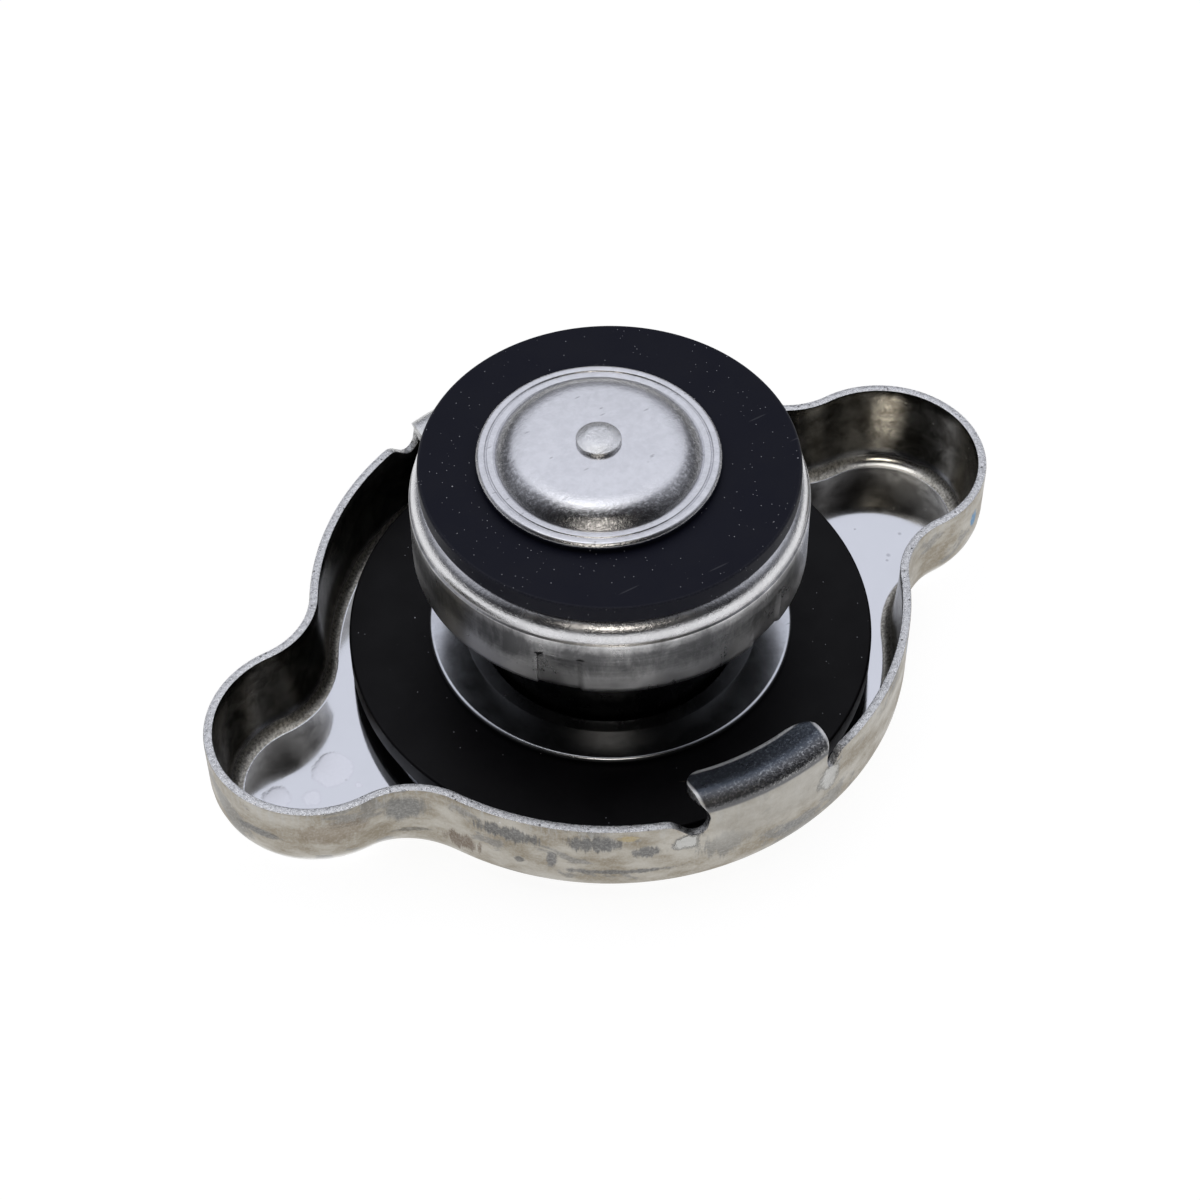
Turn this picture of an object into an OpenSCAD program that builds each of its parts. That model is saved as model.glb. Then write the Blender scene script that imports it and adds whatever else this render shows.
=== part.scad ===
// Pressure cap for a radiator filler neck, lying on its outer face with the valve up.
// Origin on the outer face at the valve's axis, +Z along the axis, +X through an ear, lugs on Y.

/* [Shell] */
// Outside radius of the round part of the shell
shell_r = 22.95; // [21:0.05:26]
// Distance from the axis to the end of each ear
ear_reach = 33.6; // [31:0.1:38]
// Radius of each ear's round end
ear_r = 8.1; // [7:0.1:9]
// Radius of the hollow blend between the round part and an ear
ear_blend_r = 5.9; // [4:0.1:8]
// Height of the rim above the outer face
shell_h = 8.4; // [7:0.1:11]
// Thickness of the shell's sheet
sheet = 0.9; // [0.7:0.05:1.2]
// Outside radius of the bend between floor and wall on the round part
main_bend = 2.9; // [2:0.1:3.6]
// Outside radius of the same bend on the ears
ear_bend = 3.6; // [2:0.1:3.8]
// Inside radius of the bend, which the punch sets sharper
inner_bend = 0.8; // [0.5:0.1:1.2]
// How much thicker the drawn wall is at the floor than at the rim
wall_taper = 0.4; // [0.2:0.05:0.6]

/* [Lugs] */
// Width of each locking lug
lug_w = 11.5; // [8:0.1:14]
// Straight part of a lug between the rim and its bend
lug_leg = 0.1; // [0.05:0.05:2]
// How far a fold draws each face of a lug or a tab in from its sheet's faces
fold_thin = 0.04; // [0.03:0.01:0.06]
// Inside radius of a lug's bend
lug_bend_r = 0.8; // [0.3:0.1:1.2]
// Distance from the axis to a lug's tip
lug_tip_r = 19.45; // [17:0.05:20]
// Radius of a lug's tip corners
lug_corner_r = 1.7; // [0.5:0.1:2]
// Width of the relief notch beside a lug
notch_w = 3; // [2:0.1:5]
// Depth of the notch below the rim
notch_depth = 1.5; // [0.8:0.1:3]
// Radius in the bottom corners of the notch
notch_r = 0.7; // [0.2:0.1:0.9]

/* [Swivel] */
// Radius of the flat of the pressed recess round the rivet
boss_r = 6.2; // [5.5:0.1:8]
// Depth of the recess in the outer face
boss_rise = 0.9; // [0.8:0.1:2]
// Radial width of the recess's sloping side
boss_slope = 1.6; // [1:0.1:3]
// Radius of the rivet's shank
rivet_r = 2.4; // [2:0.05:3]
// Radius of the rivet's head in the recess
rivet_head_r = 4.6; // [3.5:0.1:5.2]
// Thickness of the rivet's head
rivet_head_h = 0.6; // [0.4:0.1:0.7]
// Radius of the rivet's upset end inside the holder
rivet_upset_r = 3.7; // [3.2:0.1:4.5]
// Thickness of the upset end
rivet_upset_h = 0.9; // [0.5:0.1:1.5]
// Radial running clearance of the shank in the shell and the plates
rivet_gap = 0.05; // [0.02:0.01:0.1]
// Axial clearance on both faces of the recess
face_gap = 0.1; // [0.05:0.01:0.2]

/* [Gasket] */
// Clearance of the upper gasket inside the foot of the shell's wall
gasket_gap = 1.45; // [1:0.05:2.6]
// Thickness of the upper gasket
gasket_t = 2; // [1.5:0.1:3]
// Edge rounding of the rubber pieces
rubber_edge = 0.25; // [0.1:0.05:0.4]
// Radius of the spring disc under the gasket
disc_r = 19.2; // [17:0.1:20]
// Thickness of the spring disc
disc_t = 0.4; // [0.3:0.05:0.6]
// How far the disc's outer ring stands above its middle
disc_lift = 0.1; // [0.05:0.05:0.6]
// Radius of the retainer plate that clamps the gasket
retainer_r = 14; // [13:0.05:15.5]
// Bend radius of the retainer and the holder
plate_bend = 0.5; // [0.3:0.05:0.6]
// Rise of the retainer's band from the crease to its edge
retainer_cone = 0.1; // [0.05:0.05:0.5]

/* [Spring holder] */
// Outside radius of the holder's wall
holder_r = 9.7; // [9:0.05:10.2]
// Sheet of the holder, the retainer and the valve cup
plate_t = 0.6; // [0.5:0.05:0.7]
// Height from the holder's base to the underside of its brim
holder_h = 12.78; // [11:0.02:15]
// Clearance of the holder's brim inside the valve cup's shoulder
brim_gap = 0.25; // [0.15:0.05:0.4]
// Gap between the holder's wall and the retainer's pocket
pocket_gap = 0.25; // [0.15:0.05:0.4]

/* [Pressure valve] */
// Outside radius of the valve cup's skirt
cup_r = 14.75; // [14.7:0.05:14.95]
// Height of the valve cup
cup_h = 6.85; // [6.2:0.05:9]
// Outside radius of the cup's shoulder above the skirt
shoulder_r = 14.4; // [14.2:0.05:14.5]
// Height of the shoulder above the skirt
shoulder_h = 1.05; // [0.9:0.05:1.4]
// Outside rounding of the shoulder
shoulder_round = 1.05; // [0.65:0.05:1.05]
// Width of each retaining tab
tab_w = 3.3; // [2.5:0.1:4.5]
// Height of the tabs from the skirt's edge to their crease
tab_h = 3.45; // [3:0.05:4]
// How far the tabs lean in at the skirt's edge
tab_in = 1.1; // [1:0.05:1.5]
// Width of the slit on each side of a tab
tab_slit = 0.15; // [0.1:0.05:0.3]
// Direction halfway between the two tabs of a pair
tab_axis = -104.2; // [-180:0.1:180]
// Angle between the two tabs of a pair
tab_spread = 63.6; // [40:0.1:90]
// Clearance between the tabs and the brim
catch_gap = 0.1; // [0.05:0.01:0.2]
// Radius of the pressure seal
seal_r = 14; // [13.5:0.05:14.2]
// Thickness of the pressure seal
seal_t = 1.55; // [1.2:0.05:2.5]
// Radius of the hole in the pressure seal
seal_hole_r = 4.6; // [4:0.1:6]

/* [Pressure spring] */
// Mean radius of the pressure spring
spring_r = 7.5; // [7:0.05:7.8]
// Wire diameter of the pressure spring
spring_wire = 1.8; // [1.4:0.1:2]
// Turns of the pressure spring
spring_turns = 5.5; // [4.5:0.25:6]

/* [Vacuum valve] */
// Radius of the vacuum disc
vac_r = 8.95; // [8.7:0.05:9.5]
// Sheet of the vacuum disc
vac_t = 0.5; // [0.4:0.05:0.6]
// Radius of the dome's foot on the vacuum disc
dome_r = 7.6; // [7:0.05:7.8]
// Radius of the flat on top of the dome
dome_flat_r = 5.3; // [4.5:0.1:6]
// Height of the dome above the disc's flange
dome_h = 1.2; // [1:0.05:1.6]
// Radius of the sealing bead under the flange
bead_r = 8.25; // [8.1:0.05:8.4]
// Width of the sealing bead
bead_w = 0.4; // [0.3:0.05:0.5]
// Height of the sealing bead
bead_h = 0.35; // [0.2:0.05:0.6]
// Clearance between the closed disc and the seal
seat_gap = 0.05; // [0.02:0.01:0.1]
// Sideways rest place of the loose vacuum valve along X
vac_off_x = -0.66; // [-0.7:0.02:0.7]
// Sideways rest place of the loose vacuum valve along Y
vac_off_y = 0.4; // [-0.5:0.02:0.5]
// Radius of the vacuum valve's stem
stem_r = 1; // [0.8:0.05:1.2]
// Radius of the stem's head
stem_head_r = 1.68; // [1.4:0.02:2]
// Height of the stem's domed head
stem_head_h = 0.6; // [0.5:0.05:1.1]
// Clearance of the disc and the washer on the stem
stem_gap = 0.03; // [0.01:0.01:0.05]
// Sideways play of the stem in the valve cup
stem_play = 1.2; // [1.1:0.05:1.4]
// Radius of the stem's upset foot
stem_foot_r = 1.6; // [1.4:0.05:2]
// Height of the stem's foot
stem_foot_h = 0.5; // [0.3:0.05:0.8]
// Radius of the spring washer on the stem
washer_r = 4.2; // [4:0.05:4.6]
// Thickness of the spring washer
washer_t = 0.6; // [0.4:0.05:0.8]
// Fitted length of the vacuum spring
vac_spring_l = 4.6; // [4:0.1:6]
// Mean radius of the vacuum spring
vac_spring_r = 3.5; // [3.4:0.05:3.7]
// Wire diameter of the vacuum spring
vac_spring_wire = 0.5; // [0.4:0.05:0.6]
// Turns of the vacuum spring
vac_spring_turns = 4.5; // [4:0.25:5]

/* [Hidden] */
$fn = 96;
// Large enough to reach past any wall
past = 2 * ear_reach;

// Plan of the shell: tangent circles of the round part, an ear and the blend between them
ear_x = ear_reach - ear_r;
blend_main = shell_r + ear_blend_r;
blend_ear = ear_r + ear_blend_r;
blend_x = (blend_main * blend_main - blend_ear * blend_ear + ear_x * ear_x) / (2 * ear_x);
blend_y = sqrt(blend_main * blend_main - blend_x * blend_x);
main_start = atan2(blend_y, blend_x);
ear_half = atan2(blend_y, blend_x - ear_x);
main_steps = 30;
ear_steps = 20;
blend_steps = 8;
bend_steps = 5;
boss_foot = boss_r + boss_slope;
floor_ring_r = boss_foot + 3 * boss_slope;
lug_t = sheet - 2 * fold_thin;
lug_bend = lug_bend_r + lug_t;
lug_top = shell_h + lug_leg + lug_bend;

// Gasket that fills the shell up to its wall
gasket_r = shell_r - sheet - wall_taper - gasket_gap;

// Stack on the axis, from the shell's boss to the valve
boss_top = boss_rise + sheet;
disc_z = boss_top + face_gap;
disc_top = disc_z + disc_t;
gasket_z = disc_top + disc_lift;
gasket_top = gasket_z + gasket_t;
holder_z = disc_top + plate_t;
holder_floor = holder_z + plate_t;
brim_z = holder_z + holder_h;
rivet_hole_r = rivet_r + rivet_gap;
pocket_r = holder_r + pocket_gap;
retainer_crease = pocket_r + plate_t + plate_bend;
gasket_hole_r = retainer_crease + face_gap;

// The brim passes inside the shoulder, and the tabs catch it part of the way up their slope
brim_r = shoulder_r - plate_t - brim_gap;
cup_in_r = cup_r - plate_t;
tab_face_r = cup_in_r + fold_thin;
catch_h = tab_h * (1 - (tab_face_r - brim_r) / tab_in);
cup_z = brim_z - catch_h - catch_gap;
cup_top = cup_z + cup_h;
cup_under = cup_top - plate_t;
step_z = cup_top - shoulder_h;
plate_hole_r = stem_r + stem_play;
seal_top = cup_top + seal_t;

// Vacuum valve, from the seal upwards and from the cup downwards
flange_z = seal_top + seat_gap + bead_h;
flange_top = flange_z + vac_t;
dome_top = flange_top + dome_h;
washer_top = cup_under - vac_spring_l;
washer_z = washer_top - washer_t;
stem_hole_r = stem_r + stem_gap;
head_rim = stem_head_h / 3;
dome_slope = dome_r - dome_flat_r;
dome_arc = (dome_slope * dome_slope + dome_h * dome_h) / (2 * dome_h);

// Points of a coil's wire section at one turn of the helix, in the plane of the axis
function ring_points(radius, wire, turn, height, sides) =
    [for (s = [0 : sides - 1])
        let (out = radius + wire / 2 * cos(360 * s / sides))
        [out * cos(360 * turn), out * sin(360 * turn), height + wire / 2 * sin(360 * s / sides)]];

// Height of a coil's centreline, with one nearly closed turn at each end
function coil_height(turn, turns, wire, rise) =
    let (closed = 1.08 * wire, pitch = (rise - 2 * closed) / (turns - 2))
    turn < 1 ? closed * turn
    : turn > turns - 1 ? rise - closed * (turns - turn)
    : closed + pitch * (turn - 1);

// Helical spring between two seats
module coil(radius, wire, low, high, turns, sides, per_turn) {
    rings = round(turns * per_turn);
    points = [for (i = [0 : rings])
        let (turn = turns * i / rings)
        each ring_points(radius, wire, turn,
                         low + wire / 2 + coil_height(turn, turns, wire, high - low - wire), sides)];
    skin = [for (i = [0 : rings - 1], s = [0 : sides - 1])
        let (a = i * sides + s, b = i * sides + (s + 1) % sides)
        each [[a, a + sides, b + sides], [a, b + sides, b]]];
    first = [for (s = [0 : sides - 1]) s];
    last = [for (s = [sides - 1 : -1 : 0]) rings * sides + s];
    polyhedron(points, concat(skin, [first, last]));
}

// Part of a turned shape, from one direction round by an angle
module swept(start, sweep) {
    rotate([0, 0, start])
        rotate_extrude(angle = sweep)
            children();
}

// Quarter of a bent sheet round a centre, in the quadrant given by two signs
module elbow(centre, inside, thick, across, up) {
    outside = inside + thick;
    translate(centre)
        intersection() {
            difference() {
                circle(outside);
                circle(inside);
            }
            translate([across > 0 ? 0 : -outside, up > 0 ? 0 : -outside])
                square(outside);
        }
}

// Flat ring section with its four edges rounded
module rounded_ring(inner, outer, low, high, edge) {
    translate([inner + edge, low])
        square([outer - inner - 2 * edge, high - low]);
    translate([inner, low + edge])
        square([outer - inner, high - low - 2 * edge]);
    for (x = [inner + edge, outer - edge], z = [low + edge, high - edge])
        translate([x, z])
            circle(edge, $fn = 24);
}

// Stations along an arc of the shell's plan: place, outward direction and bottom bend radius
function stations(centre, radius, from, to, steps, outward, bend_from, bend_to) =
    [for (i = [0 : steps - 1])
        let (share = i / steps,
             a = from + (to - from) * share,
             ray = [cos(a), sin(a)],
             ease = share * share * (3 - 2 * share))
        [centre + radius * ray, outward * ray, bend_from + (bend_to - bend_from) * ease]];

// One half of the plan: an ear, a blend, a side of the round part and the next blend
function half_plan() = concat(
    stations([ear_x, 0], ear_r, -ear_half, ear_half, ear_steps, 1, ear_bend, ear_bend),
    stations([blend_x, blend_y], ear_blend_r, 180 + ear_half, 180 + main_start, blend_steps, -1,
             ear_bend, main_bend),
    stations([0, 0], shell_r, main_start, 180 - main_start, main_steps, 1, main_bend, main_bend),
    stations([-blend_x, blend_y], ear_blend_r, -main_start, -ear_half, blend_steps, -1,
             main_bend, ear_bend));

// The whole plan: the other half is the first one turned half round
function shell_plan() =
    let (half = half_plan())
    concat(half, [for (s = half) [-s[0], -s[1], s[2]]]);

// Section of the sheet at a bend radius: pairs of inset and height from the floor's edge up and back
function wall_section(bend) =
    let (out = [for (k = [0 : bend_steps]) 90 * k / bend_steps],
         back = [for (k = [bend_steps : -1 : 0]) 90 * k / bend_steps])
    concat([for (a = out) [bend - bend * sin(a), bend - bend * cos(a)]],
           [[0, shell_h], [sheet, shell_h]],
           [for (a = back) [sheet + wall_taper + inner_bend * (1 - sin(a)),
                            sheet + inner_bend * (1 - cos(a))]]);

// Points of the tray at one station, closed through the hole in the middle of its floor
function tray_points(station) =
    let (to_middle = floor_hole() * station[0] / norm(station[0]))
    concat([for (p = wall_section(station[2]))
               let (place = station[0] - p[0] * station[1])
               [place.x, place.y, p[1]]],
           [[to_middle.x, to_middle.y, sheet], [to_middle.x, to_middle.y, 0]]);

// Radius at which the swept tray meets the turned middle of the floor
function floor_hole() = (boss_foot + floor_ring_r) / 2;

// Wall, bottom bend and outer floor of the shell, swept round its plan
module shell_tray() {
    rings = [for (s = shell_plan()) tray_points(s)];
    count = len(rings);
    size = len(rings[0]);
    points = [for (r = rings) each r];
    faces = [for (i = [0 : count - 1], j = [0 : size - 1])
        let (a = i * size + j,
             b = i * size + (j + 1) % size,
             c = (i + 1) % count * size + j,
             d = (i + 1) % count * size + (j + 1) % size)
        each [[a, b, d], [a, d, c]]];
    polyhedron(points, faces);
}

// Middle of the floor with the recess for the rivet pressed into it
module shell_middle() {
    rotate_extrude()
        polygon([[rivet_hole_r, boss_rise], [boss_r, boss_rise], [boss_foot, 0], [floor_ring_r, 0],
                 [floor_ring_r, sheet], [boss_foot, sheet], [boss_r, boss_top], [rivet_hole_r, boss_top]]);
}

// Relief notch beside a lug, seen along Y
module notch_shape() {
    floor_z = shell_h - notch_depth;
    translate([lug_w / 2, floor_z + notch_r])
        square([notch_w, past]);
    translate([lug_w / 2 + notch_r, floor_z])
        square([notch_w - 2 * notch_r, past]);
    for (x = [notch_r, notch_w - notch_r])
        translate([lug_w / 2 + x, floor_z + notch_r])
            circle(notch_r, $fn = 24);
}

// Plan of a lug: a strip with a hollow tip and round tip corners, pointing along Y
module lug_plan() {
    half = lug_w / 2;
    corner_x = half - lug_corner_r;
    corner_ring = lug_tip_r + lug_corner_r;
    corner_y = sqrt(corner_ring * corner_ring - corner_x * corner_x);
    tip_y = sqrt(lug_tip_r * lug_tip_r - half * half);
    touch = lug_tip_r / corner_ring;
    difference() {
        translate([-half, 0])
            square([lug_w, past]);
        circle(lug_tip_r);
        for (s = [-1, 1])
            difference() {
                polygon([[s * corner_x, corner_y], [s * half, corner_y], [s * past, corner_y],
                         [s * half, tip_y - lug_corner_r], [s * corner_x * touch, corner_y * touch]]);
                translate([s * corner_x, corner_y])
                    circle(lug_corner_r, $fn = 48);
            }
    }
}

// Lug folded over from the rim towards the axis
module lug() {
    bend_z = lug_top - lug_bend;
    bend_x = shell_r - fold_thin - lug_bend;
    span = 2 * asin(lug_w / 2 / lug_tip_r) + 10;
    intersection() {
        swept(90 - span / 2, span) {
            translate([shell_r - fold_thin - lug_t, shell_h - notch_depth / 2])
                square([lug_t, lug_leg + notch_depth / 2]);
            elbow([bend_x, bend_z], lug_bend_r, lug_t, 1, 1);
            translate([lug_tip_r - lug_corner_r, lug_top - lug_t])
                square([bend_x - lug_tip_r + lug_corner_r, lug_t]);
        }
        linear_extrude(2 * lug_top)
            lug_plan();
    }
}

// Pressed shell with two ears for the fingers and two locking lugs
module shell() {
    color([0.74, 0.73, 0.69]) {
        difference() {
            shell_tray();
            for (side = [0, 180], s = [0, 1])
                rotate([0, 0, side])
                    mirror([s, 0, 0])
                        rotate([90, 0, 0])
                            linear_extrude(past)
                                notch_shape();
        }
        shell_middle();
        for (side = [0, 180])
            rotate([0, 0, side])
                lug();
    }
}

// Dished spring plate that presses the gasket away from the shell
module spring_disc() {
    rise_start = gasket_hole_r + disc_t;
    rise_end = rise_start + 2 * disc_lift;
    color([0.8, 0.8, 0.82])
        rotate_extrude()
            polygon([[rivet_hole_r, disc_z], [rise_start, disc_z], [rise_end, disc_z + disc_lift],
                     [disc_r, disc_z + disc_lift], [disc_r, gasket_z], [rise_end, gasket_z],
                     [rise_start, disc_top], [rivet_hole_r, disc_top]]);
}

// Rubber ring that seals on the top of the filler neck
module upper_gasket() {
    color([0.03, 0.03, 0.035])
        rotate_extrude()
            rounded_ring(gasket_hole_r, gasket_r, gasket_z, gasket_top, rubber_edge);
}

// Dished plate that clamps the gasket's inner edge
module gasket_retainer() {
    pocket_floor = disc_top + plate_t;
    edge = plate_t / 2;
    color([0.82, 0.82, 0.83])
        rotate_extrude() {
            translate([rivet_hole_r, disc_top])
                square([pocket_r - plate_bend - rivet_hole_r, plate_t]);
            elbow([pocket_r - plate_bend, pocket_floor + plate_bend], plate_bend, plate_t, 1, -1);
            translate([pocket_r, pocket_floor + plate_bend])
                square([plate_t, gasket_top - 2 * plate_bend - pocket_floor]);
            elbow([retainer_crease, gasket_top - plate_bend], plate_bend, plate_t, -1, 1);
            polygon([[retainer_crease, gasket_top], [retainer_r - edge, gasket_top + retainer_cone],
                     [retainer_r - edge, gasket_top + retainer_cone + plate_t],
                     [retainer_crease, gasket_top + plate_t]]);
            translate([retainer_r - edge, gasket_top + retainer_cone + edge])
                circle(edge, $fn = 24);
        }
}

// Drawn cup that holds the pressure spring and catches the valve on its brim
module spring_holder() {
    wall_in = holder_r - plate_t;
    wall_low = holder_floor + plate_bend;
    color([0.66, 0.66, 0.66])
        rotate_extrude() {
            translate([rivet_hole_r, holder_z])
                square([wall_in - plate_bend - rivet_hole_r, plate_t]);
            elbow([wall_in - plate_bend, wall_low], plate_bend, plate_t, 1, -1);
            translate([wall_in, wall_low])
                square([plate_t, brim_z - plate_bend - wall_low]);
            elbow([holder_r + plate_bend, brim_z - plate_bend], plate_bend, plate_t, -1, 1);
            translate([holder_r + plate_bend, brim_z])
                square([brim_r - holder_r - plate_bend, plate_t]);
        }
}

// Rivet on which the shell turns round the valve
module swivel_rivet() {
    head_top = boss_rise - face_gap;
    head_edge = rivet_head_h / 4;
    color([0.6, 0.6, 0.6])
        rotate_extrude() {
            polygon([[0, head_top - rivet_head_h], [rivet_head_r - head_edge, head_top - rivet_head_h],
                     [rivet_head_r, head_top - rivet_head_h + head_edge], [rivet_head_r, head_top],
                     [rivet_r, head_top], [rivet_r, holder_floor], [rivet_upset_r, holder_floor],
                     [rivet_r, holder_floor + rivet_upset_h], [0, holder_floor + rivet_upset_h]]);
        }
}

// Coil spring between the holder's base and the valve cup
module pressure_spring() {
    color([0.55, 0.55, 0.57])
        coil(spring_r, spring_wire, holder_floor, cup_under, spring_turns, 8, 18);
}

// Directions of the four retaining tabs
function tab_directions() =
    [for (pair = [0, 180], s = [-1, 1]) tab_axis + pair + s * tab_spread / 2];

// Cup that carries the pressure seal and hooks behind the holder's brim
module valve_cup() {
    shoulder_in = shoulder_r - plate_t;
    round_in = shoulder_round - plate_t;
    tab_out_r = cup_r - fold_thin;
    crease_z = cup_z + tab_h;
    window_top = crease_z + plate_t / 4;
    root_z = crease_z + plate_t;
    tab_arc = 360 * tab_w / (2 * PI * cup_r);
    slit_arc = 360 * tab_slit / (2 * PI * cup_r);
    color([0.72, 0.71, 0.68]) {
        difference() {
            rotate_extrude() {
                translate([plate_hole_r, cup_under])
                    square([shoulder_r - shoulder_round - plate_hole_r, plate_t]);
                elbow([shoulder_r - shoulder_round, cup_top - shoulder_round], round_in, plate_t, 1, 1);
                translate([shoulder_in, step_z - plate_t])
                    square([plate_t, shoulder_h - shoulder_round + plate_t]);
                translate([shoulder_in, step_z - plate_t])
                    square([cup_in_r - shoulder_in, plate_t]);
                elbow([cup_in_r, step_z - plate_t], 0, plate_t, 1, 1);
                translate([cup_in_r, cup_z])
                    square([plate_t, step_z - plate_t - cup_z]);
            }
            for (a = tab_directions())
                swept(a - tab_arc / 2 - slit_arc, tab_arc + 2 * slit_arc)
                    translate([cup_in_r - plate_t, cup_z - tab_h])
                        square([3 * plate_t, window_top - cup_z + tab_h]);
        }
        for (a = tab_directions())
            swept(a - tab_arc / 2, tab_arc)
                polygon([[tab_face_r, root_z], [tab_face_r, crease_z], [tab_face_r - tab_in, cup_z],
                         [tab_out_r - tab_in, cup_z], [tab_out_r, crease_z], [tab_out_r, root_z]]);
    }
}

// Rubber ring that closes the seat inside the filler neck
module pressure_seal() {
    color([0.045, 0.05, 0.07])
        rotate_extrude()
            rounded_ring(seal_hole_r, seal_r, cup_top, seal_top, rubber_edge);
}

// Places the loose vacuum valve beside the axis
module at_vacuum_valve() {
    translate([vac_off_x, vac_off_y, 0])
        children();
}

// Domed disc that lifts off the pressure seal when the radiator draws a vacuum
module vacuum_disc() {
    edge = vac_t / 2;
    color([0.8, 0.8, 0.8])
        at_vacuum_valve()
            rotate_extrude() {
                translate([stem_hole_r, dome_top - vac_t])
                    square([dome_flat_r - stem_hole_r, vac_t]);
                intersection() {
                    elbow([dome_flat_r, dome_top - dome_arc], dome_arc - vac_t, vac_t, 1, 1);
                    translate([dome_flat_r, flange_z])
                        square([vac_r, dome_h + vac_t]);
                }
                translate([dome_r - edge, flange_z])
                    square([vac_r - dome_r, vac_t]);
                translate([vac_r - edge, flange_z + edge])
                    circle(edge, $fn = 24);
                translate([bead_r - bead_w / 2, flange_z - bead_h])
                    square([bead_w, bead_h]);
            }
}

// Stem of the vacuum valve with its domed head above the disc and its foot under the washer
module vacuum_stem() {
    cap_h = stem_head_h - head_rim;
    ball_r = (stem_head_r * stem_head_r + cap_h * cap_h) / (2 * cap_h);
    color([0.78, 0.78, 0.78])
        at_vacuum_valve()
            rotate_extrude() {
                translate([0, washer_z])
                    square([stem_r, dome_top - washer_z]);
                translate([0, washer_z - stem_foot_h])
                    square([stem_foot_r, stem_foot_h]);
                translate([0, dome_top])
                    square([stem_head_r, head_rim]);
                intersection() {
                    translate([0, dome_top + stem_head_h - ball_r])
                        circle(ball_r);
                    translate([0, dome_top + head_rim])
                        square([stem_head_r, cap_h]);
                }
            }
}

// Washer that carries the vacuum spring on the stem
module stem_washer() {
    color([0.7, 0.7, 0.7])
        at_vacuum_valve()
            translate([0, 0, washer_z])
                difference() {
                    cylinder(r = washer_r, h = washer_t);
                    translate([0, 0, -washer_t])
                        cylinder(r = stem_hole_r, h = 3 * washer_t);
                }
}

// Light spring that holds the vacuum disc shut
module vacuum_spring() {
    color([0.6, 0.6, 0.62])
        at_vacuum_valve()
            coil(vac_spring_r, vac_spring_wire, washer_top, cup_under, vac_spring_turns, 8, 18);
}

shell();
spring_disc();
upper_gasket();
gasket_retainer();
spring_holder();
swivel_rivet();
pressure_spring();
valve_cup();
pressure_seal();
vacuum_disc();
vacuum_stem();
stem_washer();
vacuum_spring();
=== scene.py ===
import bmesh
import bpy
import math
from mathutils import Matrix, Vector


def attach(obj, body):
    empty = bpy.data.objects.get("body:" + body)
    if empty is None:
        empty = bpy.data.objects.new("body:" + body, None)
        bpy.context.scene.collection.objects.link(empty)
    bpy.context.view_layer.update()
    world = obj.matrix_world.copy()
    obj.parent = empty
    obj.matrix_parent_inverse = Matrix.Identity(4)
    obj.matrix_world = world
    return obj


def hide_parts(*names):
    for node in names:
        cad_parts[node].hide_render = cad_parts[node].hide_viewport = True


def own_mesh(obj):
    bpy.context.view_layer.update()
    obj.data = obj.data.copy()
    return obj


# Radiator cap lying on its outer face with the valve up.
# Sizes are in millimetres in the model's frame: z = 0 is the outer face, the ears lie along X.
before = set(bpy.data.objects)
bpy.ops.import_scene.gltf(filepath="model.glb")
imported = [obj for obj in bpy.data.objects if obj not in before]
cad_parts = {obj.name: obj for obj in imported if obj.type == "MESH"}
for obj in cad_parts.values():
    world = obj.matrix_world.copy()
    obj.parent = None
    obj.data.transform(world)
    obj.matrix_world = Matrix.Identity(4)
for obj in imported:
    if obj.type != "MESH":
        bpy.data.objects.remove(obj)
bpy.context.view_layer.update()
mm = 0.001
weldGap = 0.002  # points closer than this become one
print("frame loaded:", len(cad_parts), "nodes")


# Modelling helpers

def beginPiece(name):
    # a small plane merged to one vertex at the origin, left in edit mode
    bpy.ops.object.select_all(action="DESELECT")
    bpy.ops.mesh.primitive_plane_add(size=mm)
    piece = bpy.context.object
    piece.name = piece.data.name = name
    bpy.ops.object.mode_set(mode="EDIT")
    bpy.ops.mesh.select_all(action="SELECT")
    bpy.ops.mesh.merge(type="CENTER")
    return piece


def roundedPath(corners, closed=False, arcStep=13):
    # corners are (radius, height) or (radius, height, rounding); returns the points of the outline
    path = []
    for index, corner in enumerate(corners):
        here = Vector(corner[:2])
        if len(corner) < 3:
            path.append(here)
            continue
        back = (Vector(corners[index - 1][:2]) - here).normalized()
        ahead = (Vector(corners[(index + 1) % len(corners)][:2]) - here).normalized()
        half = back.angle(ahead) / 2
        middle = here + (back + ahead).normalized() * corner[2] / math.sin(half)
        reach = corner[2] / math.tan(half)
        first = here + back * reach - middle
        last = here + ahead * reach - middle
        start = math.atan2(first.y, first.x)
        turn = math.atan2(last.y, last.x) - start
        turn -= math.tau * round(turn / math.tau)
        steps = max(3, round(math.degrees(abs(turn)) / arcStep))
        for step in range(steps + 1):
            angle = start + turn * step / steps
            path.append(middle + corner[2] * Vector((math.cos(angle), math.sin(angle))))
    if closed:
        path.append(path[0].copy())
    return path


def spinPath(name, path, steps):
    # the outline is drawn by extruding one vertex, then spun round Z
    piece = beginPiece(name)
    bpy.ops.transform.translate(value=(path[0].x * mm, 0, path[0].y * mm))
    for here, ahead in zip(path, path[1:]):
        move = (ahead - here) * mm
        bpy.ops.mesh.extrude_region_move(TRANSFORM_OT_translate={"value": (move.x, 0, move.y)})
    bpy.ops.mesh.select_all(action="SELECT")
    bpy.ops.mesh.spin(steps=steps, angle=math.tau, center=(0, 0, 0), axis=(0, 0, 1))
    bpy.ops.mesh.select_all(action="SELECT")
    bpy.ops.mesh.remove_doubles(threshold=weldGap * mm)
    bpy.ops.mesh.normals_make_consistent(inside=False)
    return piece


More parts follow.
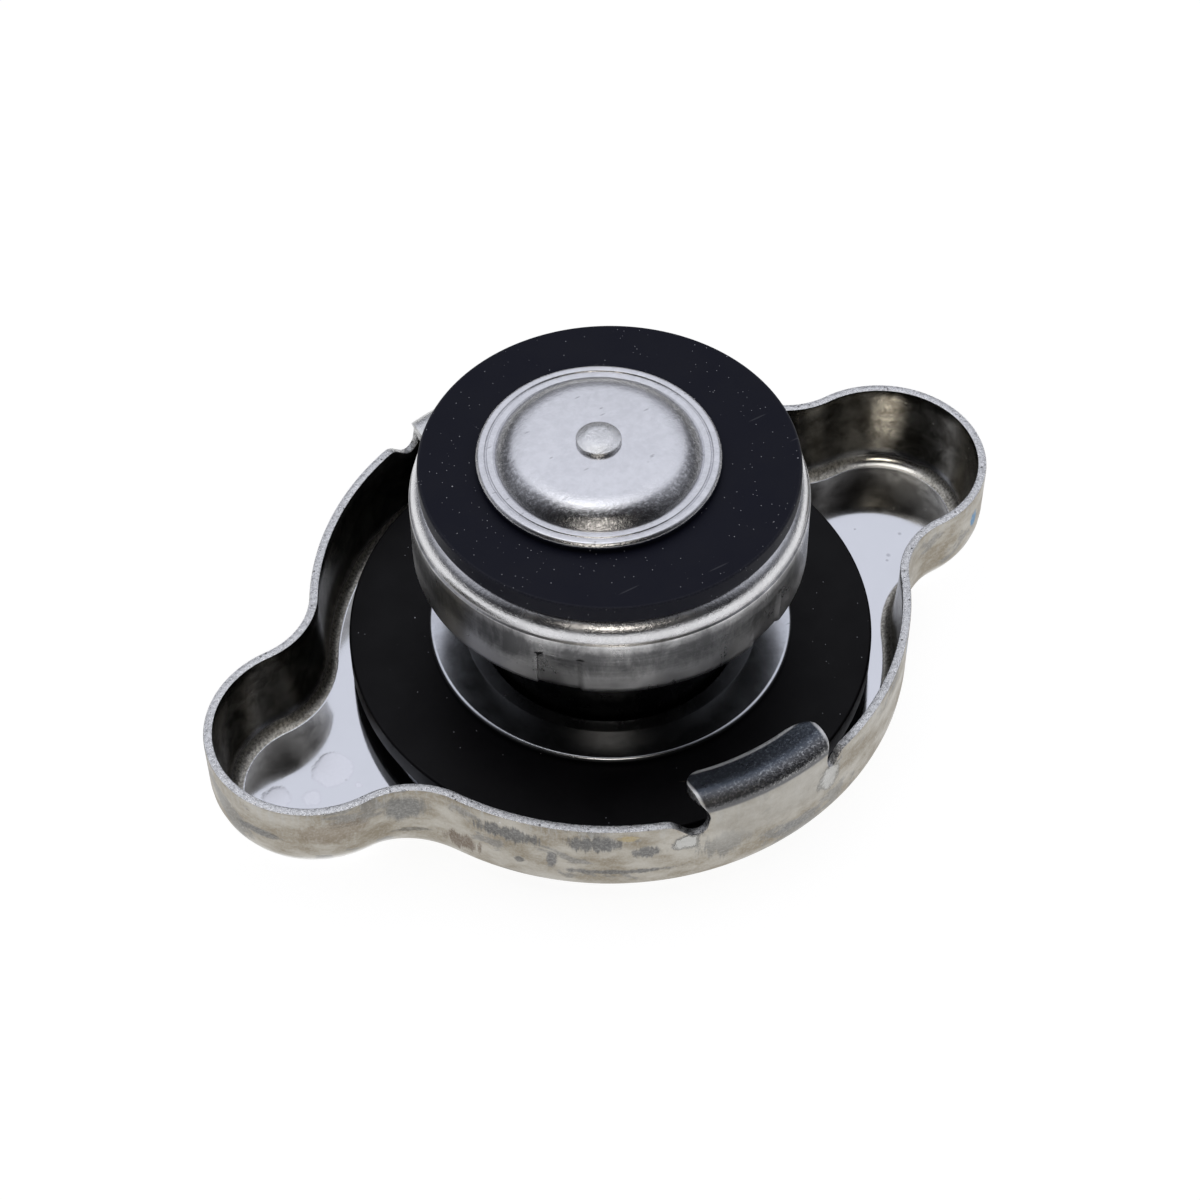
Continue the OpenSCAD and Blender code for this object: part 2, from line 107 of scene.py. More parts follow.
def growRings(name, stationCount, ringCount, place):
    # a circle is extruded ring by ring, and each new ring is set on its stations
    bpy.ops.object.select_all(action="DESELECT")
    bpy.ops.mesh.primitive_circle_add(vertices=stationCount, radius=mm)
    piece = bpy.context.object
    piece.name = piece.data.name = name
    bpy.ops.object.mode_set(mode="EDIT")
    bpy.ops.mesh.select_mode(type="VERT")
    mesh = bmesh.from_edit_mesh(piece.data)
    station = mesh.verts.layers.int.new("station")
    mesh.verts.layers.int.new("ring")
    for index, vert in enumerate(mesh.verts):
        vert[station] = index
    bpy.ops.mesh.select_all(action="SELECT")
    for ring in range(ringCount):
        if ring:
            bpy.ops.mesh.extrude_region()
        setSelected(piece, ring, lambda index: place(ring, index))
    return piece


def setSelected(piece, ring, placeOf):
    # puts each selected vertex where its station says and notes its ring
    mesh = bmesh.from_edit_mesh(piece.data)
    layers = mesh.verts.layers.int
    for vert in mesh.verts:
        if vert.select:
            vert.co = placeOf(vert[layers["station"]]) * mm
            vert[layers["ring"]] = ring
    bmesh.update_edit_mesh(piece.data)


def faceAwayFrom(piece, core):
    # turns an open sheet so that its faces look away from a point inside it
    bpy.ops.mesh.select_all(action="SELECT")
    bpy.ops.mesh.normals_make_consistent(inside=False)
    mesh = bmesh.from_edit_mesh(piece.data)
    score = 0
    for face in mesh.faces:
        score += face.normal.dot(face.calc_center_median() - Vector(core) * mm) * face.calc_area()
    if score < 0:
        bpy.ops.mesh.flip_normals()


def applyModifier(piece, kind, **settings):
    modifier = piece.modifiers.new(kind.lower(), kind)
    for key, value in settings.items():
        setattr(modifier, key, value)
    bpy.ops.object.modifier_apply(modifier=modifier.name)


def thicken(piece, wall):
    # gives an open sheet its wall on the inside
    bpy.ops.object.mode_set(mode="OBJECT")
    applyModifier(piece, "SOLIDIFY", thickness=wall * mm, offset=-1, use_even_offset=True,
                  material_offset=1, material_offset_rim=2)


def breakEdges(piece, edge, fineAbove=math.inf, fineShare=0.35, sharpAngle=50):
    # rounds the sharp edges, those above a height by a smaller share
    bpy.ops.object.mode_set(mode="EDIT")
    mesh = bmesh.from_edit_mesh(piece.data)
    weight = mesh.edges.layers.float.new("bevel_weight_edge")
    for rib in mesh.edges:
        if len(rib.link_faces) == 2 and rib.calc_face_angle() > math.radians(sharpAngle):
            high = max(vert.co.z for vert in rib.verts) > fineAbove * mm
            rib[weight] = fineShare if high else 1.0
    bmesh.update_edit_mesh(piece.data)
    bpy.ops.object.mode_set(mode="OBJECT")
    applyModifier(piece, "BEVEL", width=edge * mm, segments=2, limit_method="WEIGHT",
                  use_clamp_overlap=False)


def finishPiece(piece, node, body, smoothAngle=35):
    if bpy.context.mode == "EDIT_MESH":
        bpy.ops.object.mode_set(mode="OBJECT")
    bpy.ops.object.shade_smooth_by_angle(angle=math.radians(smoothAngle))
    for key in ("station", "ring", "bevel_weight_edge"):
        if key in piece.data.attributes:
            piece.data.attributes.remove(piece.data.attributes[key])
    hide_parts(node)
    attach(piece, body)
    print("made", piece.name, len(piece.data.polygons), "faces")
    return piece


# Node helpers: addNode returns the new node, the others an output socket

def addNode(tree, kind, sockets, **settings):
    made = tree.nodes.new(kind)
    for key, value in settings.items():
        setattr(made, key, value)
    for key, value in sockets.items():
        if isinstance(value, bpy.types.NodeSocket):
            tree.links.new(value, made.inputs[key])
        else:
            made.inputs[key].default_value = value
    return made


def mathOut(tree, operation, first, second=0.0):
    return addNode(tree, "ShaderNodeMath", {0: first, 1: second}, operation=operation).outputs[0]


def foldOut(tree, operation, parts):
    total = parts[0]
    for part in parts[1:]:
        total = mathOut(tree, operation, total, part)
    return total


def sumOut(tree, *parts):
    return foldOut(tree, "ADD", parts)


def timesOut(tree, *parts):
    return foldOut(tree, "MULTIPLY", parts)


def largestOut(tree, *parts):
    return foldOut(tree, "MAXIMUM", parts)


def weighedOut(tree, *pairs):
    # sum of values, each times its weight
    return sumOut(tree, *(part if weight == 1 else timesOut(tree, part, weight) for part, weight in pairs))


def mixOut(tree, share, first, second):
    first, second = [(*c, 1) if isinstance(c, tuple) else c for c in (first, second)]
    return addNode(tree, "ShaderNodeMix", {0: share, 6: first, 7: second}, data_type="RGBA").outputs[2]


def rangeOut(tree, value, low, high, toLow=0.0, toHigh=1.0):
    # a smooth step from one value to the other
    sockets = {0: value, 1: low, 2: high, 3: toLow, 4: toHigh}
    return addNode(tree, "ShaderNodeMapRange", sockets, interpolation_type="SMOOTHSTEP").outputs[0]


def fadeOut(tree, value, low, high, start=1.0):
    return rangeOut(tree, value, low, high, start, 0.0)


def placeOut(tree):
    # object coordinates in millimetres
    spot = addNode(tree, "ShaderNodeTexCoord", {}).outputs["Object"]
    return addNode(tree, "ShaderNodeVectorMath", {0: spot, "Scale": 1 / mm}, operation="SCALE").outputs[0]


def axisOut(tree, place, axis):
    return addNode(tree, "ShaderNodeSeparateXYZ", {0: place}).outputs[axis]


def distanceOut(tree, place, centre):
    sockets = {0: place, 1: centre}
    return addNode(tree, "ShaderNodeVectorMath", sockets, operation="DISTANCE").outputs["Value"]


def radiusOut(tree, place, centre=(0, 0)):
    # distance from an upright axis
    sockets = {0: place, 1: (1, 1, 0)}
    flat = addNode(tree, "ShaderNodeVectorMath", sockets, operation="MULTIPLY").outputs[0]
    return distanceOut(tree, flat, (*centre, 0))


def turnedOut(tree, place, scale, turn=(0, 0, 0)):
    sockets = {"Vector": place, "Scale": scale, "Rotation": tuple(math.radians(angle) for angle in turn)}
    return addNode(tree, "ShaderNodeMapping", sockets).outputs[0]


def noiseOut(tree, place, scale, detail=4.0, roughness=0.55, distortion=0.0):
    sockets = {"Vector": place, "Scale": scale, "Detail": detail, "Roughness": roughness,
               "Distortion": distortion}
    return addNode(tree, "ShaderNodeTexNoise", sockets).outputs[0]


def spotOut(tree, place, centre, inner, outer):
    # 1 inside a ball of that centre, fading to 0
    return fadeOut(tree, distanceOut(tree, place, centre), inner, outer)


def stainOut(tree, place, centre, turn, half, pattern, wander):
    # 1 inside an ellipse laid on a wall, with an edge that wanders with a pattern
    through = 1.6
    sockets = {"Vector": place, "Location": centre, "Rotation": (0, 0, math.radians(turn)),
               "Scale": (half[0], through, half[1])}
    local = addNode(tree, "ShaderNodeMapping", sockets, vector_type="TEXTURE").outputs[0]
    away = addNode(tree, "ShaderNodeVectorMath", {0: local}, operation="LENGTH").outputs["Value"]
    rough = weighedOut(tree, (away, 1), (pattern, wander))
    return fadeOut(tree, rough, 0.55 + wander / 2, 1.05 + wander / 2)


def speckOut(tree, place, scale, size, share, spread="3D"):
    # scattered small specks: the middles of some cells
    sockets = {"Vector": place, "Scale": scale}
    cells = addNode(tree, "ShaderNodeTexVoronoi", sockets, voronoi_dimensions=spread)
    dot = fadeOut(tree, cells.outputs["Distance"], size * 0.5, size)
    chosen = mathOut(tree, "LESS_THAN", axisOut(tree, cells.outputs["Color"], 0), share)
    return timesOut(tree, dot, chosen)


def scratchOut(tree, place, turn, scale, stretch, size, share, spread="3D"):
    # short fine lines: specks drawn out in one direction
    drawn = turnedOut(tree, place, (1 / stretch, 1, 1), (0, 0, turn))
    return speckOut(tree, drawn, scale, size, share, spread)


def newMaterial(name):
    material = bpy.data.materials.new(name)
    material.use_nodes = True
    tree = material.node_tree
    tree.nodes.clear()
    return material, tree


def closeMaterial(tree, colour, roughness, height, depth, **constants):
    # principled shader with the given patterns; depth is the bump's height in millimetres
    bump = addNode(tree, "ShaderNodeBump", {"Height": height, "Strength": 1.0, "Distance": depth * mm})
    shader = addNode(tree, "ShaderNodeBsdfPrincipled",
                     {"Base Color": colour, "Roughness": roughness, "Normal": bump.outputs[0]})
    for key, value in constants.items():
        shader.inputs[key.replace("_", " ")].default_value = value
    addNode(tree, "ShaderNodeOutputMaterial", {0: shader.outputs[0]})


# Heights and radii that several pieces and finishes share

rivetBore, stemBore = 2.45, 1.03
gasketLow, gasketTop, gasketRadius = 2.4, 4.4, 20.2
holderFloor = 3.5
pinEnd, washerLow, washerTop = 14.687, 15.187, 15.787
cupUnder, cupTop, sealTop, sealRadius = 20.387, 20.987, 22.537, 14.0
flangeTop, domeTop, headTop = 23.437, 24.637, 25.237
valveShift = (-0.66, 0.40)  # the vacuum valve lies loose beside the axis


# Shell's outer face

# where the plating changes: start and end of each fade in height, radius or distance sideways
platingZones = {
    "rimRub": (6.2, 8.2), "earSide": (22, 26), "earFoot": (1.9, 3.3), "legSide": (4.4, 5.8),
    "legHeight": (3.5, 6.0), "lugBend": (9.0, 9.2), "lugTop": (9.2, 9.6), "lugRadius": (21.4, 22.4),
    "lugMiddle": 0.24, "tipRadius": (19.66, 19.86), "tipSide": (5.15, 5.35), "glintSide": (-5.5, 1.0),
}
# painted light among these tones: the near-white ear bends are a painted reflection of the floor, and the
# bend, tip, near and far lug tones are painted highlights and reflections on the lugs
platingTones = {
    "base": ((0.285, 0.245, 0.182), (0.47, 0.445, 0.395)), "blotch": (0.215, 0.21, 0.20),
    "brightened": (0.47, 0.47, 0.46), "grain": (0.56, 0.55, 0.53), "scratch": (0.8, 0.8, 0.8),
    "polishAndSheen": (0.97, 0.97, 0.96), "leg": ((0.33, 0.315, 0.285), (0.55, 0.535, 0.50)),
    "bend": ((0.17, 0.17, 0.175), (0.74, 0.74, 0.73)), "tip": (0.85, 0.85, 0.84),
    "nearLug": ((0.085, 0.097, 0.118), (0.24, 0.27, 0.30)),
    "farLug": ((0.55, 0.55, 0.55), (0.85, 0.85, 0.85)),
    "blob": ((0.36, 0.36, 0.35), (0.58, 0.58, 0.57)), "blobRing": (0.18, 0.18, 0.17),
}

# marks on the outer wall: centre, turn, half sizes along and up the wall, colour, strength, kind of edge
wallMarks = [
    ((-28.2, -7.6, 6.0), -19, (3.4, 1.5), (0.20, 0.15, 0.095), 0.6, "cloudy"),
    ((-32.6, -3.9, 5.2), -60, (2.1, 0.5), (0.13, 0.13, 0.13), 0.8, "cloudy"),
    ((-22.8, -8.6, 6.4), -25, (2.0, 1.6), (0.17, 0.17, 0.165), 0.9, "brushed"),
    ((-22.4, -8.8, 3.7), -28, (1.7, 0.3), (0.12, 0.115, 0.10), 0.7, "cloudy"),
    ((-19.8, -11.6, 3.6), -59, (1.7, 1.0), (0.15, 0.11, 0.075), 0.9, "lined"),
    ((-17.8, -14.4, 6.6), -50, (3.0, 0.9), (0.11, 0.11, 0.11), 0.9, "lined"),
    ((-12.9, -19.0, 6.9), -34, (2.4, 0.9), (0.12, 0.12, 0.12), 0.9, "lined"),
    ((-9.7, -20.8, 5.8), -25, (1.5, 0.7), (0.13, 0.13, 0.13), 0.9, "lined"),
    ((-15.4, -17.0, 4.6), -42, (0.5, 1.0), (0.12, 0.12, 0.125), 0.85, "cloudy"),
    ((-11.2, -20.0, 3.5), -29, (5.0, 0.32), (0.13, 0.13, 0.13), 0.85, "cloudy"),
    ((-17.1, -15.3, 3.8), -48, (0.45, 0.4), (0.09, 0.09, 0.09), 0.8, "cloudy"),
    # painted highlight: this warm yellow patch near the rim stands in for a warm glint on the near wall
    ((-10.8, -20.2, 7.6), -28, (0.9, 0.4), (0.46, 0.37, 0.19), 0.7, "cloudy"),
    ((-4.1, -22.6, 4.8), -10, (1.9, 1.5), (0.19, 0.19, 0.185), 0.7, "lined"),
    ((2.4, -22.8, 3.4), 6, (3.0, 0.6), (0.20, 0.20, 0.20), 0.7, "cloudy"),
    ((20.0, -11.3, 4.5), 60, (1.6, 1.2), (0.17, 0.17, 0.165), 0.7, "cloudy"),
    ((28.6, -7.5, 2.6), 22, (2.6, 0.5), (0.18, 0.165, 0.15), 0.7, "cloudy"),
    ((16.8, -15.7, 6.6), 47, (0.5, 0.8), (0.02, 0.22, 0.42), 0.95, "cloudy"),
    ((17.4, -14.9, 2.6), 50, (0.4, 0.7), (0.02, 0.24, 0.40), 0.9, "cloudy"),
    ((29.3, -7.1, 5.8), 28, (0.6, 1.0), (0.02, 0.20, 0.42), 0.9, "cloudy"),
]
wallBlobs = [((-6.9, -21.9, 6.3), -17, (1.2, 0.9)), ((5.2, -22.35, 6.3), 13, (1.3, 1.7))]
markWander = {"cloudy": 1.6, "brushed": 1.2, "lined": 3.0, "blob": 1.8}  # how far each kind of edge wanders


def shellOuterFinish():
    material, tree = newMaterial("wornPlating")
    zones = platingZones
    tones = platingTones
    place = placeOut(tree)
    along, depth, height = (axisOut(tree, place, axis) for axis in range(3))
    sideways = mathOut(tree, "ABSOLUTE", along)
    radius = radiusOut(tree, place)
    cloud = noiseOut(tree, turnedOut(tree, place, (1, 1, 2)), 0.22, 6, 0.65)
    blotch = noiseOut(tree, turnedOut(tree, place, (1, 1, 1.7)), 0.17, 6, 0.65, 0.5)
    streak = noiseOut(tree, turnedOut(tree, place, (1, 1, 0.14)), 2.0, 6, 0.7)
    ragged = noiseOut(tree, turnedOut(tree, place, (1, 1, 0.7)), 1.3, 5, 0.7)
    grain = noiseOut(tree, place, 5.0, 5, 0.7)
    colour = mixOut(tree, rangeOut(tree, cloud, 0.35, 0.66), *tones["base"])
    colour = mixOut(tree, rangeOut(tree, blotch, 0.55, 0.60, 0.0, 0.75), colour, tones["blotch"])
    # lighter streaks towards the rim
    brightened = timesOut(tree, rangeOut(tree, height, *zones["rimRub"]),
                      rangeOut(tree, streak, 0.48, 0.62, 0.0, 0.45))
    colour = mixOut(tree, brightened, colour, tones["brightened"])
    patterns = {"cloudy": ragged, "brushed": streak, "lined": streak, "blob": ragged}

    def markOut(centre, turn, half, edge):
        return stainOut(tree, place, centre, turn, half, patterns[edge], markWander[edge])

    for centre, turn, half, tone, share, edge in wallMarks:
        colour = mixOut(tree, timesOut(tree, markOut(centre, turn, half, edge), share), colour, tone)
    colour = mixOut(tree, rangeOut(tree, grain, 0.38, 0.72, 0.0, 0.35), colour, tones["grain"])
    lines = scratchOut(tree, place, 60, 1.1, 7, 0.10, 0.3)
    colour = mixOut(tree, timesOut(tree, lines, 0.5), colour, tones["scratch"])

    # the ears' lower bends are smoother and painted near white, a painted reflection of the white floor, and
    # the lugs' legs are a shade of their own
    polishAndSheen = timesOut(tree, rangeOut(tree, sideways, *zones["earSide"]),
                        fadeOut(tree, height, *zones["earFoot"], 0.85))
    colour = mixOut(tree, polishAndSheen, colour, tones["polishAndSheen"])
    onLeg = timesOut(tree, fadeOut(tree, sideways, *zones["legSide"], 0.65),
                     rangeOut(tree, height, *zones["legHeight"]))
    colour = mixOut(tree, onLeg, colour, mixOut(tree, ragged, *tones["leg"]))

    # painted light on the lugs: the bend is painted dark with paler painted glints; the near lug is painted
    # dark, a painted reflection of the dark cup, with paler glints; the far one is painted pale, a painted
    # reflection of the bright sky; both have painted highlights on their tips and sides
    onBend = rangeOut(tree, height, *zones["lugBend"])
    onTop = rangeOut(tree, height, *zones["lugTop"])
    nearSide = mathOut(tree, "LESS_THAN", depth, 0.0)
    fromLug = timesOut(tree, along, mathOut(tree, "SIGN", depth))
    fromLug = mathOut(tree, "ABSOLUTE", mathOut(tree, "SUBTRACT", fromLug, zones["lugMiddle"]))
    onNearLug = timesOut(tree, onBend, fadeOut(tree, radius, *zones["lugRadius"]), nearSide)
    onFarLug = mathOut(tree, "SUBTRACT", onTop, timesOut(tree, onTop, nearSide))
    atEdge = largestOut(tree, fadeOut(tree, radius, *zones["tipRadius"]),
                        rangeOut(tree, fromLug, *zones["tipSide"]))
    onTip = timesOut(tree, onBend, atEdge)
    paintedGlints = timesOut(tree, rangeOut(tree, grain, 0.48, 0.68), onTop,
                      rangeOut(tree, along, *zones["glintSide"], 0.35, 1.0))
    colour = mixOut(tree, onBend, colour, mixOut(tree, paintedGlints, *tones["bend"]))
    colour = mixOut(tree, onNearLug, colour, mixOut(tree, paintedGlints, *tones["nearLug"]))
    colour = mixOut(tree, onFarLug, colour, mixOut(tree, grain, *tones["farLug"]))
    colour = mixOut(tree, onTip, colour, tones["tip"])

    # dried blobs with a dark ring
    blobs = largestOut(tree, *[markOut(*blob, "blob") for blob in wallBlobs])
    rings = timesOut(tree, rangeOut(tree, blobs, 0.05, 0.45), fadeOut(tree, blobs, 0.5, 0.9))
    colour = mixOut(tree, timesOut(tree, blobs, 0.85), colour, mixOut(tree, cloud, *tones["blob"]))
    colour = mixOut(tree, timesOut(tree, rings, 0.4), colour, tones["blobRing"])
    roughWall = rangeOut(tree, cloud, 0.3, 0.7, 0.48, 0.36)
    roughness = weighedOut(tree, (roughWall, 1), (blobs, -0.15), (onBend, -0.14), (onTip, 0.2),
                           (polishAndSheen, -0.2))
    coarse = timesOut(tree, onTop, noiseOut(tree, place, 3.2, 4, 0.7))
    relief = weighedOut(tree, (grain, 1), (streak, 0.5), (coarse, 2.2), (blobs, 7.0))
    closeMaterial(tree, colour, roughness, relief, 0.022, Metallic=1.0)
    return material


# Shell's inner face

# dried drops on the floor of one ear, and dark specks on that of the other: centre and radius
floorDrops = [((-24.0, 0.85, 0.9), 1.75), ((-28.9, 0.75, 0.9), 1.2), ((-23.1, -1.3, 0.9), 0.5),
              ((-26.6, -0.6, 0.9), 0.9)]
floorSpecks = [((26.2, -2.1, 0.9), 0.22), ((24.1, -3.5, 0.9), 0.26), ((23.7, -3.9, 0.9), 0.18),
               ((23.4, 0.2, 0.9), 0.14)]
insideZones = {
    "creaseFoot": (0.9005, 0.92), "creaseTop": (1.3, 2.1), "wall": (1.5, 2.4),
    # centre and reach of the painted highlight on the crease
    "lampSpotAt": (29.6, 4.7, 1.3), "lampSpotReach": (1.5, 4.5),
}
# the wall tone is painted shade
insideTones = {
    "floor": ((0.72, 0.73, 0.76), (0.80, 0.81, 0.84)), "wall": ((0.13, 0.118, 0.094), (0.37, 0.35, 0.30)),
    "crease": ((0.30, 0.28, 0.235), (0.78, 0.75, 0.68)), "drop": ((0.76, 0.76, 0.80), (0.98, 0.97, 1.0)),
    "dropEdge": (0.6, 0.6, 0.65), "speck": (0.2, 0.2, 0.2), "floorSpeck": (0.2, 0.2, 0.22),
}


def shellInnerFinish():
    material, tree = newMaterial("brightPlating")
    zones = insideZones
    tones = insideTones
    place = placeOut(tree)
    height = axisOut(tree, place, 2)
    cloud = noiseOut(tree, place, 0.25, 5, 0.6)
    haze = noiseOut(tree, place, 0.5, 6, 0.7, 0.4)
    grain = noiseOut(tree, place, 4.5, 5, 0.7)
    onCrease = timesOut(tree, rangeOut(tree, height, *zones["creaseFoot"]),
                        fadeOut(tree, height, *zones["creaseTop"]))
    # the crease is made smoother and painted lighter round the front lamp's reflection: the smoothness is
    # real, the lighter colour is a painted highlight
    brightened = timesOut(tree, onCrease, spotOut(tree, place, zones["lampSpotAt"], *zones["lampSpotReach"]))
    sand = rangeOut(tree, weighedOut(tree, (grain, 1), (brightened, 0.2)), 0.36, 0.64)
    onWall = rangeOut(tree, height, *zones["wall"])
    specks = speckOut(tree, place, 0.5, 0.09, 0.3)
    lines = scratchOut(tree, place, 20, 0.8, 9, 0.07, 0.3)
    colour = mixOut(tree, cloud, *tones["floor"])
    colour = mixOut(tree, timesOut(tree, specks, 0.6), colour, tones["speck"])
    # painted shade: the inner wall is painted dark brown, far darker than the floor of the same plating
    paintedWallShade = mixOut(tree, rangeOut(tree, haze, 0.35, 0.65), *tones["wall"])
    colour = mixOut(tree, onWall, colour, paintedWallShade)
    colour = mixOut(tree, timesOut(tree, onCrease, 0.95), colour, mixOut(tree, sand, *tones["crease"]))
    for centre, radius in floorSpecks:
        speck = spotOut(tree, place, centre, radius * 0.2, radius)
        colour = mixOut(tree, timesOut(tree, speck, 0.4), colour, tones["floorSpeck"])
    dropParts = []
    edgeParts = []
    for centre, radius in floorDrops:
        away = weighedOut(tree, (distanceOut(tree, place, centre), 1), (haze, 1.4))
        drop = fadeOut(tree, away, radius + 0.45, radius + 0.75)
        dropParts.append(drop)
        edgeParts.append(timesOut(tree, drop, rangeOut(tree, away, radius + 0.3, radius + 0.55)))
    drops = largestOut(tree, *dropParts)
    edges = largestOut(tree, *edgeParts)
    colour = mixOut(tree, timesOut(tree, drops, 0.55), colour, mixOut(tree, grain, *tones["drop"]))
    colour = mixOut(tree, timesOut(tree, edges, 0.3), colour, tones["dropEdge"])
    roughFloor = rangeOut(tree, cloud, 0.3, 0.7, 0.05, 0.10)
    roughness = weighedOut(tree, (roughFloor, 1), (lines, 0.15), (onWall, 0.16), (onCrease, 0.34),
                           (brightened, -0.2), (drops, 0.12))
    uneven = timesOut(tree, grain, weighedOut(tree, (onCrease, 4.0), (brightened, -3.0), (onWall, 1)))
    relief = weighedOut(tree, (uneven, 1), (grain, 0.05), (lines, -0.5), (drops, 0.5))
    closeMaterial(tree, colour, roughness, relief, 0.010, Metallic=1.0)
    return material


# Shell's cut edge, torn and dark round the lugs

rimZones = {"torn": (7.0, 8.2)}
rimTones = {"base": ((0.60, 0.60, 0.60), (0.96, 0.96, 0.96)), "speck": (0.12, 0.12, 0.12),
            "torn": (0.10, 0.10, 0.10)}


def shellRimFinish():
    material, tree = newMaterial("shearedEdge")
    place = placeOut(tree)
    grain = noiseOut(tree, place, 2.6, 6, 0.75)
    pits = noiseOut(tree, place, 6.0, 3, 0.6)
    dark = speckOut(tree, place, 2.2, 0.2, 0.3)
    colour = mixOut(tree, rangeOut(tree, pits, 0.3, 0.6), *rimTones["base"])
    colour = mixOut(tree, timesOut(tree, dark, 0.8), colour, rimTones["speck"])
    sideways = mathOut(tree, "ABSOLUTE", axisOut(tree, place, 0))
    torn = timesOut(tree, fadeOut(tree, sideways, *rimZones["torn"], 0.85),
                    rangeOut(tree, grain, 0.35, 0.6, 1.0, 0.3))
    colour = mixOut(tree, torn, colour, rimTones["torn"])
    roughness = rangeOut(tree, grain, 0.3, 0.7, 0.22, 0.38)
    relief = weighedOut(tree, (grain, 1), (pits, 0.4), (dark, -0.5))
    closeMaterial(tree, colour, roughness, relief, 0.09, Metallic=1.0)
    return material


# Cup's drawn steel

# the foot and head ranges give the skirt painted light, the shoulder range a painted highlight
cupZones = {"foot": (14.2, 17.4), "head": (18.2, 19.0), "shoulder": (19.35, 19.5)}
cupTones = {"skirt": ((0.17, 0.17, 0.175), (0.70, 0.695, 0.70)),
            "shoulder": ((0.55, 0.55, 0.57), (0.85, 0.85, 0.86)), "speck": (0.15, 0.15, 0.15)}


def cupFinish():
    material, tree = newMaterial("drawnSteel")
    place = placeOut(tree)
    height = axisOut(tree, place, 2)
    cloud = noiseOut(tree, turnedOut(tree, place, (1, 1, 0.6)), 0.35, 6, 0.7, 0.4)
    drawn = noiseOut(tree, turnedOut(tree, place, (1, 1, 0.08)), 2.6, 5, 0.7)
    rings = noiseOut(tree, turnedOut(tree, place, (0.02, 0.02, 1)), 4.0, 4, 0.65)
    grain = noiseOut(tree, place, 5.0, 5, 0.7)
    onShoulder = rangeOut(tree, height, *cupZones["shoulder"])
    # painted light: the skirt is painted lighter at its foot, darker above and lighter again just under the
    # shoulder
    lift = sumOut(tree, rangeOut(tree, height, *cupZones["foot"], 0.28, -0.10),
                  rangeOut(tree, height, *cupZones["head"], 0.0, 0.16))
    mottled = weighedOut(tree, (cloud, 0.76), (drawn, 0.10), (rings, 0.14), (lift, 1))
    specks = speckOut(tree, place, 1.0, 0.1, 0.3)
    colour = mixOut(tree, rangeOut(tree, mottled, 0.34, 0.68), *cupTones["skirt"])
    # painted highlight: the rounded shoulder is painted lighter than the skirt
    colour = mixOut(tree, onShoulder, colour, mixOut(tree, grain, *cupTones["shoulder"]))
    colour = mixOut(tree, timesOut(tree, specks, 0.6), colour, cupTones["speck"])
    roughSkirt = rangeOut(tree, cloud, 0.3, 0.7, 0.34, 0.22)
    roughness = weighedOut(tree, (roughSkirt, 1), (drawn, 0.08), (onShoulder, -0.06))
    coarse = timesOut(tree, onShoulder, noiseOut(tree, place, 3.0, 4, 0.7))
    relief = weighedOut(tree, (drawn, 0.4), (rings, 0.8), (grain, 0.4), (coarse, 2.0))
    closeMaterial(tree, colour, roughness, relief, 0.014, Metallic=1.0)
    return material


# Bright plate, rubber and spring wire

speckTone = (0.15, 0.15, 0.15)
dustTone = (0.55, 0.56, 0.6)
wireTones = ((0.36, 0.36, 0.37), (0.55, 0.55, 0.57))
# the dark band at the dome's foot is painted shade
dishBend = {"centre": valveShift, "grain": (4.6, 5.6), "foot": (6.1, 6.7), "rim": (7.3, 7.55),
            "tone": (0.20, 0.20, 0.205), "share": 0.8}


def brightFinish(name, light, dark, smooth, rough, grainy, bend=None):
    material, tree = newMaterial(name)
    place = placeOut(tree)
    cloud = noiseOut(tree, place, 0.4, 5, 0.6)
    grain = noiseOut(tree, place, 3.6, 5, 0.7)
    lines = sumOut(tree, scratchOut(tree, place, 35, 0.9, 9, 0.06, 0.5),
                   scratchOut(tree, place, -50, 0.7, 8, 0.06, 0.5))
    nicks = sumOut(tree, scratchOut(tree, place, 25, 0.8, 5, 0.045, 0.4, "2D"),
                   scratchOut(tree, place, -70, 0.7, 3, 0.045, 0.3, "2D"))
    mottle = weighedOut(tree, (cloud, 0.5), (noiseOut(tree, place, 1.5, 6, 0.7), 0.5))
    specks = speckOut(tree, place, 0.9, 0.1, 0.25)
    colour = mixOut(tree, rangeOut(tree, mottle, 0.38, 0.62), dark, light)
    colour = mixOut(tree, timesOut(tree, sumOut(tree, specks, nicks), 0.4), colour, speckTone)
    roughSheet = rangeOut(tree, cloud, 0.3, 0.7, smooth, rough)
    roughness = weighedOut(tree, (roughSheet, 1), (lines, 0.2))
    uneven = timesOut(tree, grain, grainy)
    if bend:
        # painted shade: a dark band painted at the foot of the dome, and less grain on its top
        away = radiusOut(tree, place, bend["centre"])
        uneven = timesOut(tree, uneven, rangeOut(tree, away, *bend["grain"], 0.25, 1.0))
        foot = timesOut(tree, rangeOut(tree, away, *bend["foot"]), fadeOut(tree, away, *bend["rim"]),
                        rangeOut(tree, grain, 0.42, 0.66, 1.0, 0.35))
        colour = mixOut(tree, timesOut(tree, foot, bend["share"]), colour, bend["tone"])
    relief = weighedOut(tree, (uneven, 1), (lines, -0.8), (cloud, 1.5))
    closeMaterial(tree, colour, roughness, relief, 0.005, Metallic=1.0)
    return material


